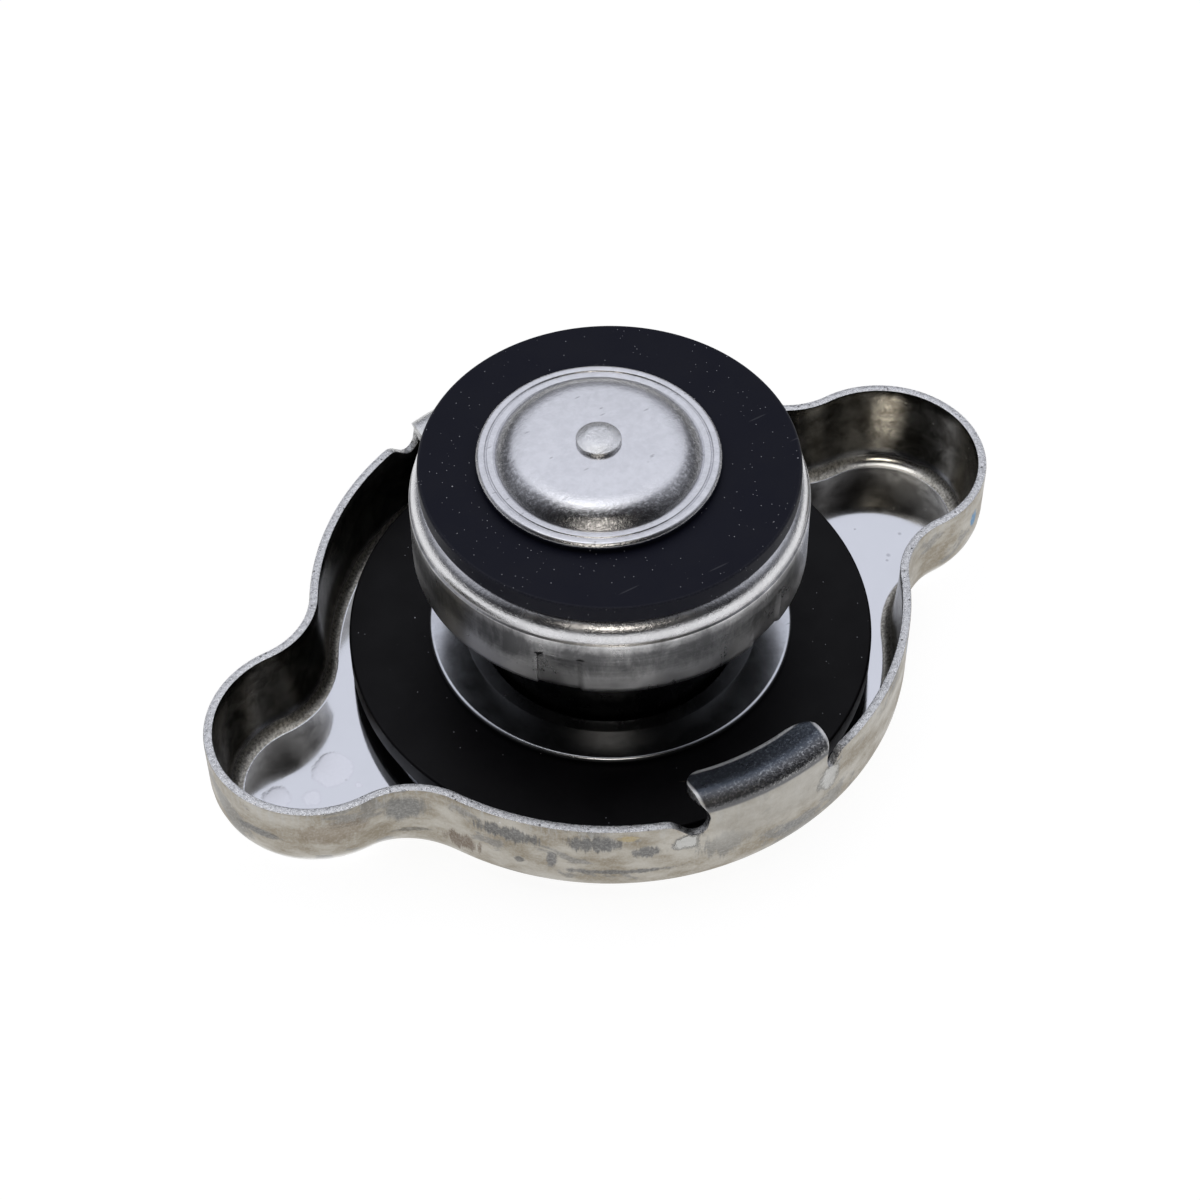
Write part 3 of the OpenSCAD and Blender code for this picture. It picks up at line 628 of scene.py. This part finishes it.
def rubberFinish(name, tone, dust, scuffs, roughness, edgeRadius, top, edgeDust):
    material, tree = newMaterial(name)
    place = placeOut(tree)
    cloud = noiseOut(tree, place, 0.3, 5, 0.6)
    grain = noiseOut(tree, place, 12.0, 3, 0.6)
    smallPlace = turnedOut(tree, place, (1, 1, 1), (20, 35, 50))
    finePlace = turnedOut(tree, place, (1, 1, 1), (50, 10, 20))
    specks = sumOut(tree, speckOut(tree, place, 0.7, 0.05, dust * 0.7),
                    speckOut(tree, smallPlace, 1.6, 0.075, dust * 0.8),
                    speckOut(tree, finePlace, 2.9, 0.12, dust * dust * 0.9))
    lines = sumOut(tree, scratchOut(tree, place, 70, 0.6, 12, 0.05, scuffs, "2D"),
                   scratchOut(tree, place, -25, 0.55, 10, 0.05, scuffs, "2D"))
    atSide = rangeOut(tree, radiusOut(tree, place), edgeRadius - 0.26, edgeRadius - 0.12)
    atTop = rangeOut(tree, axisOut(tree, place, 2), top - 0.22, top - 0.08)
    patchy = rangeOut(tree, noiseOut(tree, place, 9.0, 6, 0.75), 0.4, 0.65, 0.3, 1.0)
    worn = timesOut(tree, atSide, atTop, patchy)
    base = mixOut(tree, cloud, tuple(c * 0.8 for c in tone), tuple(c * 1.25 for c in tone))
    marks = weighedOut(tree, (specks, 0.9), (lines, 0.07), (worn, edgeDust))
    colour = mixOut(tree, marks, base, dustTone)
    rough = rangeOut(tree, cloud, 0.3, 0.7, roughness - 0.05, roughness + 0.06)
    relief = weighedOut(tree, (grain, 1), (cloud, 1), (lines, -1.0))
    closeMaterial(tree, colour, rough, relief, 0.01, Specular_IOR_Level=0.15)
    return material


def springFinish():
    material, tree = newMaterial("springWire")
    place = placeOut(tree)
    cloud = noiseOut(tree, place, 0.6, 4, 0.6)
    grain = noiseOut(tree, place, 6.0, 4, 0.6)
    colour = mixOut(tree, cloud, *wireTones)
    roughness = rangeOut(tree, grain, 0.3, 0.7, 0.25, 0.4)
    closeMaterial(tree, colour, roughness, grain, 0.01, Metallic=1.0)
    return material


finishes = {
    "shellOuter": shellOuterFinish(),
    "shellInner": shellInnerFinish(),
    "shellRim": shellRimFinish(),
    "cup": cupFinish(),
    "plate": brightFinish("polishedPlate", light=(0.68, 0.70, 0.74), dark=(0.58, 0.59, 0.62),
                          smooth=0.20, rough=0.25, grainy=0.5),
    # painted shade: the spring holder's plate is painted near black for the shade under the cup
    "holder": brightFinish("shadedHolderPlate", light=(0.06, 0.06, 0.06), dark=(0.035, 0.035, 0.035),
                           smooth=0.24, rough=0.32, grainy=1.0),
    "dish": brightFinish("satinDish", light=(0.82, 0.82, 0.84), dark=(0.73, 0.73, 0.75),
                         smooth=0.19, rough=0.26, grainy=6.0, bend=dishBend),
    "rivet": brightFinish("rivetSteel", light=(0.93, 0.93, 0.93), dark=(0.78, 0.78, 0.78),
                          smooth=0.22, rough=0.32, grainy=10.0),
    "gasket": rubberFinish("gasketRubber", tone=(0.0020, 0.0016, 0.0024), dust=0.16, scuffs=0.0,
                           roughness=0.45, edgeRadius=gasketRadius, top=gasketTop, edgeDust=0.01),
    "seal": rubberFinish("sealRubber", tone=(0.0068, 0.0076, 0.0175), dust=0.6, scuffs=0.3,
                         roughness=0.5, edgeRadius=sealRadius, top=sealTop, edgeDust=0.05),
    "spring": springFinish(),
}
print("finishes ready:", len(finishes))


# Shell

# pairs: wall and bend at the inner foot; lug corner and notch as usual, and right of the near lug
shellSize = {
    "radius": 22.95, "earReach": 33.6, "earRadius": 8.1, "blendRadius": 5.9, "rim": 8.4, "sheet": 0.9,
    "mainBend": 2.9, "earBend": 4.2, "mainInside": (0.95, 0.8), "earInside": (1.3, 1.0), "rimSheet": 0.68,
    "lugRoot": 5.0, "lugHalf": 5.5, "lugTurn": -0.65, "lugLeg": 0.22, "lugBend": 1.5, "lugTilt": 12,
    "lugTip": 19.45, "lugFlat": 0.15, "lugCorner": (1.7, 2.7), "notchWidth": (3.1, 1.9),
    "notchDepth": (1.5, 1.1), "notchSteep": 0.3, "recessRadius": 6.2, "recessDepth": 0.9, "recessFoot": 7.8,
    "recessRound": 0.9, "floorRing": 12.6, "rivetHole": rivetBore, "edge": 0.13, "fineGap": 0.02,
    "core": (0, 0, 6),
}
earSteps, blendSteps = 72, 20
roundSteps = [30, 20, 36, 20, 30]  # up to a notch, notch, lug, notch and on to the other ear
tiny = 0.001


def planArc(centre, radius, start, end, steps, outward, bendStart, bendEnd):
    # stations along an arc of the plan: place, direction outward and radius of the bend
    found = []
    for step in range(steps):
        share = step / steps
        angle = math.radians(start + (end - start) * share)
        ray = Vector((math.cos(angle), math.sin(angle)))
        ease = share * share * (3 - 2 * share)
        bend = bendStart + (bendEnd - bendStart) * ease
        found.append((Vector(centre) + radius * ray, outward * ray, bend))
    return found


def shellPlan():
    size = shellSize
    earX = size["earReach"] - size["earRadius"]
    toMain = size["radius"] + size["blendRadius"]
    toEar = size["earRadius"] + size["blendRadius"]
    blendX = (toMain ** 2 - toEar ** 2 + earX ** 2) / (2 * earX)
    blendY = math.sqrt(toMain ** 2 - blendX ** 2)
    mainStart = math.degrees(math.atan2(blendY, blendX))
    earHalf = math.degrees(math.atan2(blendY, blendX - earX))
    lugAngle = math.degrees(math.asin(size["lugRoot"] / size["radius"]))
    notchAngle = math.degrees(math.asin((size["lugRoot"] + size["notchWidth"][0]) / size["radius"]))
    lugMiddle = 90 + size["lugTurn"]
    half = planArc((earX, 0), size["earRadius"], -earHalf, earHalf, earSteps, 1,
                   size["earBend"], size["earBend"])
    half += planArc((blendX, blendY), size["blendRadius"], 180 + earHalf, 180 + mainStart, blendSteps, -1,
                    size["earBend"], size["mainBend"])
    stops = [mainStart, lugMiddle - notchAngle, lugMiddle - lugAngle, lugMiddle + lugAngle,
             lugMiddle + notchAngle, 180 - mainStart]
    for start, end, steps in zip(stops, stops[1:], roundSteps):
        half += planArc((0, 0), size["radius"], start, end, steps, 1, size["mainBend"], size["mainBend"])
    half += planArc((-blendX, blendY), size["blendRadius"], -mainStart, -earHalf, blendSteps, -1,
                    size["mainBend"], size["earBend"])
    return half + [(-place, -outward, bend) for place, outward, bend in half]


def buildShell():
    size = shellSize
    plan = shellPlan()
    foot = roundedPath([(size["rivetHole"], size["recessDepth"]),
                        (size["recessRadius"], size["recessDepth"], size["recessRound"]),
                        (size["recessFoot"], 0, size["recessRound"]), (size["floorRing"], 0)])
    floorSteps, bendSteps, wallSteps = 6, 9, 6
    evenStart = earSteps / 2
    lugTurn = Matrix.Rotation(math.radians(size["lugTurn"]), 2)

    def onMainArc(place):
        return abs(place.length - size["radius"]) < tiny

    def inLugFrame(place):
        return lugTurn.inverted() @ place

    def rimHeight(place):
        # the relief notches beside the lugs are dips in the rim, steep on the lug's side
        spot = inLugFrame(place)
        kind = 1 if spot.x > 0 and spot.y < 0 else 0
        across = (abs(spot.x) - size["lugRoot"]) / size["notchWidth"][kind]
        if not onMainArc(place) or across <= tiny or across >= 1:
            return size["rim"]
        steep = size["notchSteep"]
        if across < steep:
            dip = math.sqrt(1 - (1 - across / steep) ** 2)
        else:
            dip = (1 + math.cos(math.pi * (across - steep) / (1 - steep))) / 2
        return size["rim"] - size["notchDepth"][kind] * dip

    def placeRing(ring, index):
        place, outward, bend = plan[index]
        target = place - bend * outward
        even = math.tau * (index - evenStart) / len(plan)
        if ring < len(foot):
            # columns spread evenly at the hole turn to point at the stations
            swing = math.atan2(target.y, target.x) - even
            swing -= math.tau * round(swing / math.tau)
            angle = even + swing * ring / (len(foot) - 1)
            return Vector((foot[ring].x * math.cos(angle), foot[ring].x * math.sin(angle), foot[ring].y))
        step = ring - len(foot) + 1
        if step <= floorSteps:
            inner = target.normalized() * size["floorRing"]
            flat = inner.lerp(target, step / floorSteps)
            return Vector((flat.x, flat.y, 0))
        step -= floorSteps
        if step <= bendSteps:
            angle = math.radians(90 * step / bendSteps)
            flat = place - bend * (1 - math.sin(angle)) * outward
            return Vector((flat.x, flat.y, bend * (1 - math.cos(angle))))
        step -= bendSteps
        return Vector((place.x, place.y, bend + (rimHeight(place) - bend) * step / wallSteps))

    def placeInside(ring, index):
        # the inner face has a sharper bend and a wall that thickens towards the floor
        place, outward, bend = plan[index]
        step = ring - len(foot) + 1
        ear = (bend - size["mainBend"]) / (size["earBend"] - size["mainBend"])
        deep, corner = (a + (b - a) * ear for a, b in zip(size["mainInside"], size["earInside"]))
        low = size["sheet"]
        if step <= floorSteps:
            target = place - (deep + corner) * outward
            flat = (target.normalized() * size["floorRing"]).lerp(target, step / floorSteps)
            return Vector((flat.x, flat.y, low))
        step -= floorSteps
        if step <= bendSteps:
            angle = math.radians(90 * step / bendSteps)
            flat = place - (deep + corner * (1 - math.sin(angle))) * outward
            return Vector((flat.x, flat.y, low + corner * (1 - math.cos(angle))))
        share = (step - bendSteps) / wallSteps
        onLug = onMainArc(place) and abs(inLugFrame(place).x) < size["lugRoot"] + tiny
        top = size["sheet"] if onLug else size["rimSheet"]
        hollow = share * (2 - share)
        flat = place - (deep + (top - deep) * hollow) * outward
        return Vector((flat.x, flat.y, low + corner + (rimHeight(place) - low - corner) * share))

    def placeLug(row, side, index):
        inset, height, half, bite, endShift = row
        across = inLugFrame(plan[index][0]).x / size["lugRoot"]
        depth = inset + endShift * across ** 4
        x = across * (half - bite * size["lugCorner"][1 if across > 0 > side else 0])
        spot = lugTurn @ Vector((x, side * math.sqrt((size["radius"] - depth) ** 2 - x * x)))
        return Vector((spot.x, spot.y, height))

    ringCount = len(foot) + floorSteps + bendSteps + wallSteps
    piece = growRings("cap_shell", len(plan), ringCount, placeRing)

    # lugs: the rim between two notches is extruded up, round the bend and in to the tip;
    # a row is its inset, height, half width, share of the corner's cut and the shift of its ends
    lugSteps, widenSteps, tipSteps = 10, 6, 7
    bendZ = size["rim"] + size["lugLeg"]
    bendTurn = math.radians(90 + size["lugTilt"])
    fall = math.tan(math.radians(size["lugTilt"]))
    rows = [(0, bendZ, size["lugRoot"], 0, 0)]
    for step in range(1, lugSteps + 1):
        angle = bendTurn * step / lugSteps
        widen = min(1, step / widenSteps)
        half = size["lugRoot"] + (size["lugHalf"] - size["lugRoot"]) * widen * widen * (3 - 2 * widen)
        inset = size["lugBend"] * (1 - math.cos(angle))
        rows.append((inset, bendZ + size["lugBend"] * math.sin(angle), half, 0, 0))
    bendInset, bendHeight = rows[-1][:2]
    cornerStart = bendInset + size["lugFlat"]
    cornerReach = size["radius"] - size["lugTip"] - cornerStart
    for step in range(tipSteps + 1):
        angle = math.radians(90 * step / tipSteps)
        inset = cornerStart + cornerReach * step / tipSteps
        rows.append((inset, bendHeight - fall * (inset - bendInset), size["lugHalf"], 1 - math.cos(angle),
                     cornerReach * (math.sin(angle) - step / tipSteps)))
    rimLevel = 0.9 * size["rim"] * mm  # tells the rim's open edge from the rivet hole's
    for side in (1, -1):
        mesh = bmesh.from_edit_mesh(piece.data)
        station = mesh.verts.layers.int["station"]
        for vert in mesh.verts:
            place = plan[vert[station]][0]
            onRim = vert.is_boundary and vert.co.z > rimLevel
            onLug = onMainArc(place) and place.y * side > 0
            vert.select = onRim and onLug and abs(inLugFrame(place).x) < size["lugRoot"] + tiny
        mesh.select_flush_mode()
        mesh.select_flush(True)
        bmesh.update_edit_mesh(piece.data)
        for row in rows:
            bpy.ops.mesh.extrude_region()
            setSelected(piece, -1, lambda index: placeLug(row, side, index))
    faceAwayFrom(piece, size["core"])
    for key in ("shellOuter", "shellInner", "shellRim"):
        piece.data.materials.append(finishes[key])
    thicken(piece, size["sheet"])

    # the wall that the modifier made is set to the inner face's own shape
    stations = piece.data.attributes["station"].data
    rings = piece.data.attributes["ring"].data
    for vert in piece.data.vertices:
        ring, index = rings[vert.index].value, stations[vert.index].value
        if ring >= len(foot) and (vert.co / mm - placeRing(ring, index)).length > size["sheet"] / 2:
            vert.co = placeInside(ring, index) * mm
    breakEdges(piece, size["edge"], size["rim"] + size["fineGap"])
    return finishPiece(piece, "shell", "cap_shell", smoothAngle=40)


buildShell()


# Turned pieces: rubber rings, plates, rivet and stem

turnSteps = 192

turnedPieces = {
    "spring_plate": {
        "node": "spring_disc", "body": "valve_carrier", "slot": "spring_steel", "finish": "plate",
        "outline": [(rivetBore, 1.9), (11.5, 1.9, 0.6), (12.1, 2.0, 0.6), (19.2, 2.0, 0.15),
                    (19.2, gasketLow, 0.15), (12.1, gasketLow, 0.6), (11.5, 2.3, 0.6), (rivetBore, 2.3)],
    },
    "top_gasket": {
        "node": "upper_gasket", "body": "valve_carrier", "slot": "gasket_rubber", "finish": "gasket",
        "outline": [(11.15, gasketLow, 0.2), (gasketRadius, gasketLow, 0.2), (gasketRadius, gasketTop, 0.22),
                    (15.6, 4.38), (11.15, 4.38, 0.2)],
    },
    "gasket_plate": {
        "node": "gasket_retainer", "body": "valve_carrier", "slot": "bright_plate", "finish": "plate",
        "outline": [(rivetBore, 2.9), (9.95, 2.9, 0.5), (9.95, 4.6, 0.25), (11.35, 5.02, 0.3),
                    (14.0, 5.1, 0.28), (14.0, 4.52, 0.28), (10.55, gasketTop, 0.5), (10.55, 2.3, 1.1),
                    (rivetBore, 2.3)],
    },
    "spring_cup": {
        "node": "spring_holder", "body": "valve_carrier", "slot": "bright_plate", "finish": "holder",
        "outline": [(rivetBore, holderFloor), (9.1, holderFloor, 0.5), (9.1, 16.28, 1.1),
                    (13.55, 16.28, 0.15), (13.55, 15.68, 0.15), (9.7, 15.68, 0.5), (9.7, 2.9, 1.1),
                    (rivetBore, 2.9)],
    },
    "swivel_pin": {
        "node": "swivel_rivet", "body": "valve_carrier", "slot": "rivet_steel", "finish": "rivet",
        "outline": [(0, 0.2), (4.4, 0.2, 0.2), (4.6, 0.4, 0.08), (4.6, 0.8, 0.08), (2.4, 0.8, 0.08),
                    (2.4, holderFloor), (3.7, holderFloor, 0.1), (2.4, 4.4, 0.5), (0, 4.4)],
    },
    "lower_seal": {
        "node": "pressure_seal", "body": "pressure_valve", "slot": "seal_rubber", "finish": "seal",
        "outline": [(4.6, cupTop, 0.2), (sealRadius, cupTop, 0.2), (sealRadius, sealTop, 0.2),
                    (4.6, sealTop, 0.2)],
    },
    "vacuum_dish": {
        "node": "vacuum_disc", "body": "vacuum_valve", "slot": "bright_plate", "finish": "dish",
        "shift": valveShift,
        "outline": [(stemBore, domeTop), (6.75, domeTop, 2.7), (7.6, flangeTop - 0.12),
                    (7.68, flangeTop - 0.06, 0.03), (8.1, flangeTop - 0.04, 0.05),
                    (8.2, flangeTop - 0.14, 0.04), (8.32, flangeTop - 0.02, 0.08), (8.75, flangeTop, 0.25),
                    (8.95, flangeTop - 0.25, 0.15), (8.95, flangeTop - 0.45, 0.06), (8.45, flangeTop - 0.5),
                    (8.45, sealTop + 0.05, 0.12), (8.05, sealTop + 0.05, 0.12), (8.05, flangeTop - 0.5),
                    (7.05, flangeTop - 0.5), (6.45, domeTop - 0.5, 1.8), (stemBore, domeTop - 0.5)],
    },
    "vacuum_pin": {
        "node": "vacuum_stem", "body": "vacuum_valve", "slot": "rivet_steel", "finish": "rivet",
        "shift": valveShift, "steps": 64,
        "outline": [(0, headTop), (0.95, headTop - 0.03, 1.2), (1.64, headTop - 0.3, 0.1),
                    (1.66, headTop - 0.4, 0.05), (1.56, headTop - 0.46, 0.03), (1.6, domeTop + 0.1, 0.03),
                    (1.62, domeTop, 0.03), (1.0, domeTop), (1.0, washerLow), (1.6, washerLow, 0.1),
                    (1.6, pinEnd, 0.15), (0, pinEnd)],
    },
    "valve_washer": {
        "node": "stem_washer", "body": "vacuum_valve", "slot": "bright_plate", "finish": "plate",
        "shift": valveShift, "steps": 96,
        "outline": [(stemBore, washerLow, 0.06), (4.2, washerLow, 0.12), (4.2, washerTop, 0.12),
                    (stemBore, washerTop, 0.06)],
    },
}


def buildTurned(name, size):
    closed = size["outline"][0][0] > 0
    piece = spinPath(name, roundedPath(size["outline"], closed), size.get("steps", turnSteps))
    if "shift" in size:
        bpy.ops.transform.translate(value=(size["shift"][0] * mm, size["shift"][1] * mm, 0))
    piece.data.materials.append(finishes[size["finish"]])
    return finishPiece(piece, size["node"], size["body"])


for turnedName, turnedSize in turnedPieces.items():
    buildTurned(turnedName, turnedSize)


# Valve cup

cupSize = {
    "hole": 2.2, "radius": 14.75, "bottom": 14.137, "shoulder": 14.6, "shoulderRound": 1.4, "step": 19.35,
    "stepRound": (0.05, 0.1), "stepDrop": 0.1, "skirtDrop": 0.4, "sheet": 0.6, "skirtRows": 12, "edge": 0.06,
    "slitAngles": [-142, -77.5, 38, 102.5], "tabDegrees": 12.5, "tabHeight": 3.45, "tabStep": 0.09,
    "tabLean": 0.11, "tabFold": 0.08, "core": (0, 0, 16),
}
cupSteps = 360  # a column of faces for each degree
slitSlack = 0.2  # degrees
skirtSlack, levelSlack = 0.1, 0.05


def buildCup():
    size = cupSize
    path = roundedPath([(size["hole"], cupTop), (size["shoulder"], cupTop, size["shoulderRound"]),
                        (size["shoulder"], size["step"], size["stepRound"][0]),
                        (size["radius"], size["step"] - size["stepDrop"], size["stepRound"][1]),
                        (size["radius"], size["step"] - size["skirtDrop"])])
    drop = (path[-1].y - size["bottom"]) / size["skirtRows"]
    crease = size["bottom"] + size["tabHeight"]
    heights = [path[-1].y - drop * (row + 1) for row in range(size["skirtRows"])]
    heights += [crease, crease - size["tabFold"]]
    path += [Vector((size["radius"], height)) for height in sorted(heights, reverse=True)]

    def degreesPast(slit, spot):
        away = math.atan2(spot.y, spot.x) - slit
        return math.degrees(away - math.tau * round(away / math.tau))

    piece = spinPath("valve_cover", path, cupSteps)
    faceAwayFrom(piece, size["core"])
    bpy.ops.mesh.select_mode(type="EDGE")
    for slitAngle in size["slitAngles"]:
        # the tab is pressed in, and cut free up one side where an edge of the mesh lies at the slit
        slit = math.radians(slitAngle)
        bpy.ops.mesh.select_all(action="DESELECT")
        mesh = bmesh.from_edit_mesh(piece.data)
        for edge in mesh.edges:
            low, high = sorted(vert.co.z / mm for vert in edge.verts)
            onSlit = all(abs(degreesPast(slit, vert.co)) < slitSlack for vert in edge.verts)
            outside = all(vert.co.xy.length > (size["radius"] - skirtSlack) * mm for vert in edge.verts)
            upright = high - low > levelSlack
            edge.select = onSlit and outside and upright and high < crease - size["tabFold"] / 2
        bmesh.update_edit_mesh(piece.data)
        bpy.ops.mesh.edge_split(type="EDGE")
        mesh = bmesh.from_edit_mesh(piece.data)
        for vert in mesh.verts:
            below = crease - vert.co.z / mm
            across = degreesPast(slit, vert.co)
            if below < size["tabFold"] / 2 or not -slitSlack < across < size["tabDegrees"]:
                continue
            if any(degreesPast(slit, face.calc_center_median()) < 0 for face in vert.link_faces):
                continue
            push = size["tabStep"] + size["tabLean"] * below / size["tabHeight"]
            inward = vert.co.xy.normalized() * push * mm
            vert.co.x -= inward.x
            vert.co.y -= inward.y
        bmesh.update_edit_mesh(piece.data)
    bpy.ops.mesh.select_mode(type="VERT")
    piece.data.materials.append(finishes["cup"])
    thicken(piece, size["sheet"])
    breakEdges(piece, size["edge"])
    return finishPiece(piece, "valve_cup", "pressure_valve", smoothAngle=40)


buildCup()


# Springs

springs = {
    "main_spring": {
        "node": "pressure_spring", "body": "valve_carrier", "joint": "pressure_lift", "travel": 3.3,
        "radius": 7.5, "wire": 1.8, "low": holderFloor, "high": cupUnder, "anchor": holderFloor,
        "turns": 5.5, "shift": (0, 0),
    },
    "light_spring": {
        "node": "vacuum_spring", "body": "pressure_valve", "joint": "vacuum_lift", "travel": 1.6,
        "radius": 3.5, "wire": 0.5, "low": washerTop, "high": cupUnder, "anchor": cupUnder, "turns": 4.5,
        "shift": valveShift,
    },
}


def buildSpring(name, size):
    sides, perTurn = 12, 32
    endPitch = 1.08  # of the wire, in the turn at each end
    ringCount = round(size["turns"] * perTurn) + 1
    rise = size["high"] - size["low"] - size["wire"]
    closed = endPitch * size["wire"]
    pitch = (rise - 2 * closed) / (size["turns"] - 2)

    def coilHeight(turn):
        # one nearly closed turn at each end
        if turn < 1:
            return closed * turn
        if turn > size["turns"] - 1:
            return rise - closed * (size["turns"] - turn)
        return closed + pitch * (turn - 1)

    def placeRing(ring, index):
        turn = ring / perTurn
        around = math.tau * index / sides
        out = size["radius"] + size["wire"] / 2 * math.cos(around)
        level = size["low"] + size["wire"] / 2 + coilHeight(turn) + size["wire"] / 2 * math.sin(around)
        return Vector((size["shift"][0] + out * math.cos(math.tau * turn),
                       size["shift"][1] + out * math.sin(math.tau * turn), level))

    piece = growRings(name, sides, ringCount, placeRing)
    bpy.ops.mesh.edge_face_add()  # the last ring is still selected
    mesh = bmesh.from_edit_mesh(piece.data)
    for edge in mesh.edges:
        edge.select = edge.is_boundary  # the first ring
    mesh.select_flush_mode()
    mesh.select_flush(True)
    bmesh.update_edit_mesh(piece.data)
    bpy.ops.mesh.edge_face_add()
    bpy.ops.mesh.select_all(action="SELECT")
    bpy.ops.mesh.normals_make_consistent(inside=False)
    piece.data.materials.append(finishes["spring"])
    finishPiece(piece, size["node"], size["body"], smoothAngle=50)
    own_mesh(piece)
    return piece


for springName, springSize in springs.items():
    buildSpring(springName, springSize)


# Floor, light and camera

cameraView = {"azimuth": -30.95, "elevation": 50.06, "roll": -0.51, "lens": 84.15, "sensor": 36.0,
              "place": (-71.78, -118.18, 171.94), "clip": (0.01, 50)}
studio = {
    "floorSize": 8.0, "floorDrop": 0.02, "floorPaper": (0.85, 0.85, 0.85, 1), "floorGlow": 0.75,
    "glowStrength": 1.22, "skyBright": (0.78, 0.80, 0.88), "skyDark": (0.015, 0.015, 0.017),
    "darkLift": 0.3, "darkFacing": (-0.1, 0.65), "darkLow": (0.25, 0.7), "darkLowShare": 0.85,
    "lampAim": (0, 0, 10),
}
softboxes = {
    "overhead_softbox": {
        "place": (-40, 20, 460), "size": (260, 260), "power": 0.2, "colour": (1.0, 1.0, 1.0),
    },
    "front_lamp": {
        "place": (-150, -235, 245), "size": (165, 75), "power": 0.135, "colour": (1.0, 0.94, 0.85),
    },
}


def buildFloor():
    bpy.ops.object.select_all(action="DESELECT")
    bpy.ops.mesh.primitive_plane_add(size=studio["floorSize"], location=(0, 0, -studio["floorDrop"] * mm))
    floor = bpy.context.object
    floor.name = "studio_floor"
    material, tree = newMaterial("whiteSweep")
    ray = addNode(tree, "ShaderNodeLightPath", {})
    seen = largestOut(tree, ray.outputs["Is Camera Ray"], ray.outputs["Is Glossy Ray"],
                      ray.outputs["Is Transmission Ray"])
    paper = addNode(tree, "ShaderNodeBsdfDiffuse", {"Color": studio["floorPaper"]})
    glow = addNode(tree, "ShaderNodeEmission", {"Color": (1, 1, 1, 1), "Strength": studio["glowStrength"]})
    both = addNode(tree, "ShaderNodeMixShader", {0: timesOut(tree, seen, studio["floorGlow"]),
                                                 1: paper.outputs[0], 2: glow.outputs[0]})
    addNode(tree, "ShaderNodeOutputMaterial", {0: both.outputs[0]})
    floor.data.materials.append(material)


def buildSky():
    # bright above and beyond the cap, dark low down and on the side that the picture is taken from
    world = bpy.data.worlds.new("studioSky")
    world.use_nodes = True
    tree = world.node_tree
    tree.nodes.clear()
    turn = math.radians(cameraView["azimuth"])
    towards = Vector((math.sin(turn), -math.cos(turn), studio["darkLift"])).normalized()
    direction = addNode(tree, "ShaderNodeTexCoord", {}).outputs["Generated"]
    sockets = {0: direction, 1: tuple(towards)}
    facing = addNode(tree, "ShaderNodeVectorMath", sockets, operation="DOT_PRODUCT").outputs["Value"]
    share = rangeOut(tree, facing, *studio["darkFacing"])
    low = fadeOut(tree, axisOut(tree, direction, 2), *studio["darkLow"], studio["darkLowShare"])
    colour = mixOut(tree, share, studio["skyBright"], studio["skyDark"])
    colour = mixOut(tree, low, colour, studio["skyDark"])
    sky = addNode(tree, "ShaderNodeBackground", {"Color": colour, "Strength": 1.0})
    addNode(tree, "ShaderNodeOutputWorld", {0: sky.outputs[0]})
    bpy.context.scene.world = world


def addSoftbox(name, size):
    bpy.ops.object.light_add(type="AREA", location=Vector(size["place"]) * mm)
    lamp = bpy.context.object
    lamp.name = name
    lamp.data.shape = "ELLIPSE"
    lamp.data.size, lamp.data.size_y = (side * mm for side in size["size"])
    lamp.data.energy = size["power"]
    lamp.data.color = size["colour"]
    aim = Vector(studio["lampAim"]) * mm - lamp.location
    lamp.rotation_euler = aim.to_track_quat("-Z", "Y").to_euler()


def buildCamera():
    turn, lift, roll = (math.radians(cameraView[key]) for key in ("azimuth", "elevation", "roll"))
    back = Vector((math.sin(turn) * math.cos(lift), -math.cos(turn) * math.cos(lift), math.sin(lift)))
    right = Vector((math.cos(turn), math.sin(turn), 0))
    up = back.cross(right)
    across = right * math.cos(roll) + up * math.sin(roll)
    above = up * math.cos(roll) - right * math.sin(roll)
    data = bpy.data.cameras.new("photoCamera")
    data.lens, data.sensor_width = cameraView["lens"], cameraView["sensor"]
    data.clip_start, data.clip_end = cameraView["clip"]
    camera = bpy.data.objects.new("photoCamera", data)
    bpy.context.scene.collection.objects.link(camera)
    turned = Matrix((across, above, back)).transposed().to_4x4()
    camera.matrix_world = Matrix.Translation(Vector(cameraView["place"]) * mm) @ turned
    bpy.context.scene.camera = camera


buildFloor()
buildSky()
for lampName, lampSize in softboxes.items():
    addSoftbox(lampName, lampSize)
buildCamera()
bpy.context.scene.view_settings.view_transform = "Standard"
print("stage ready")
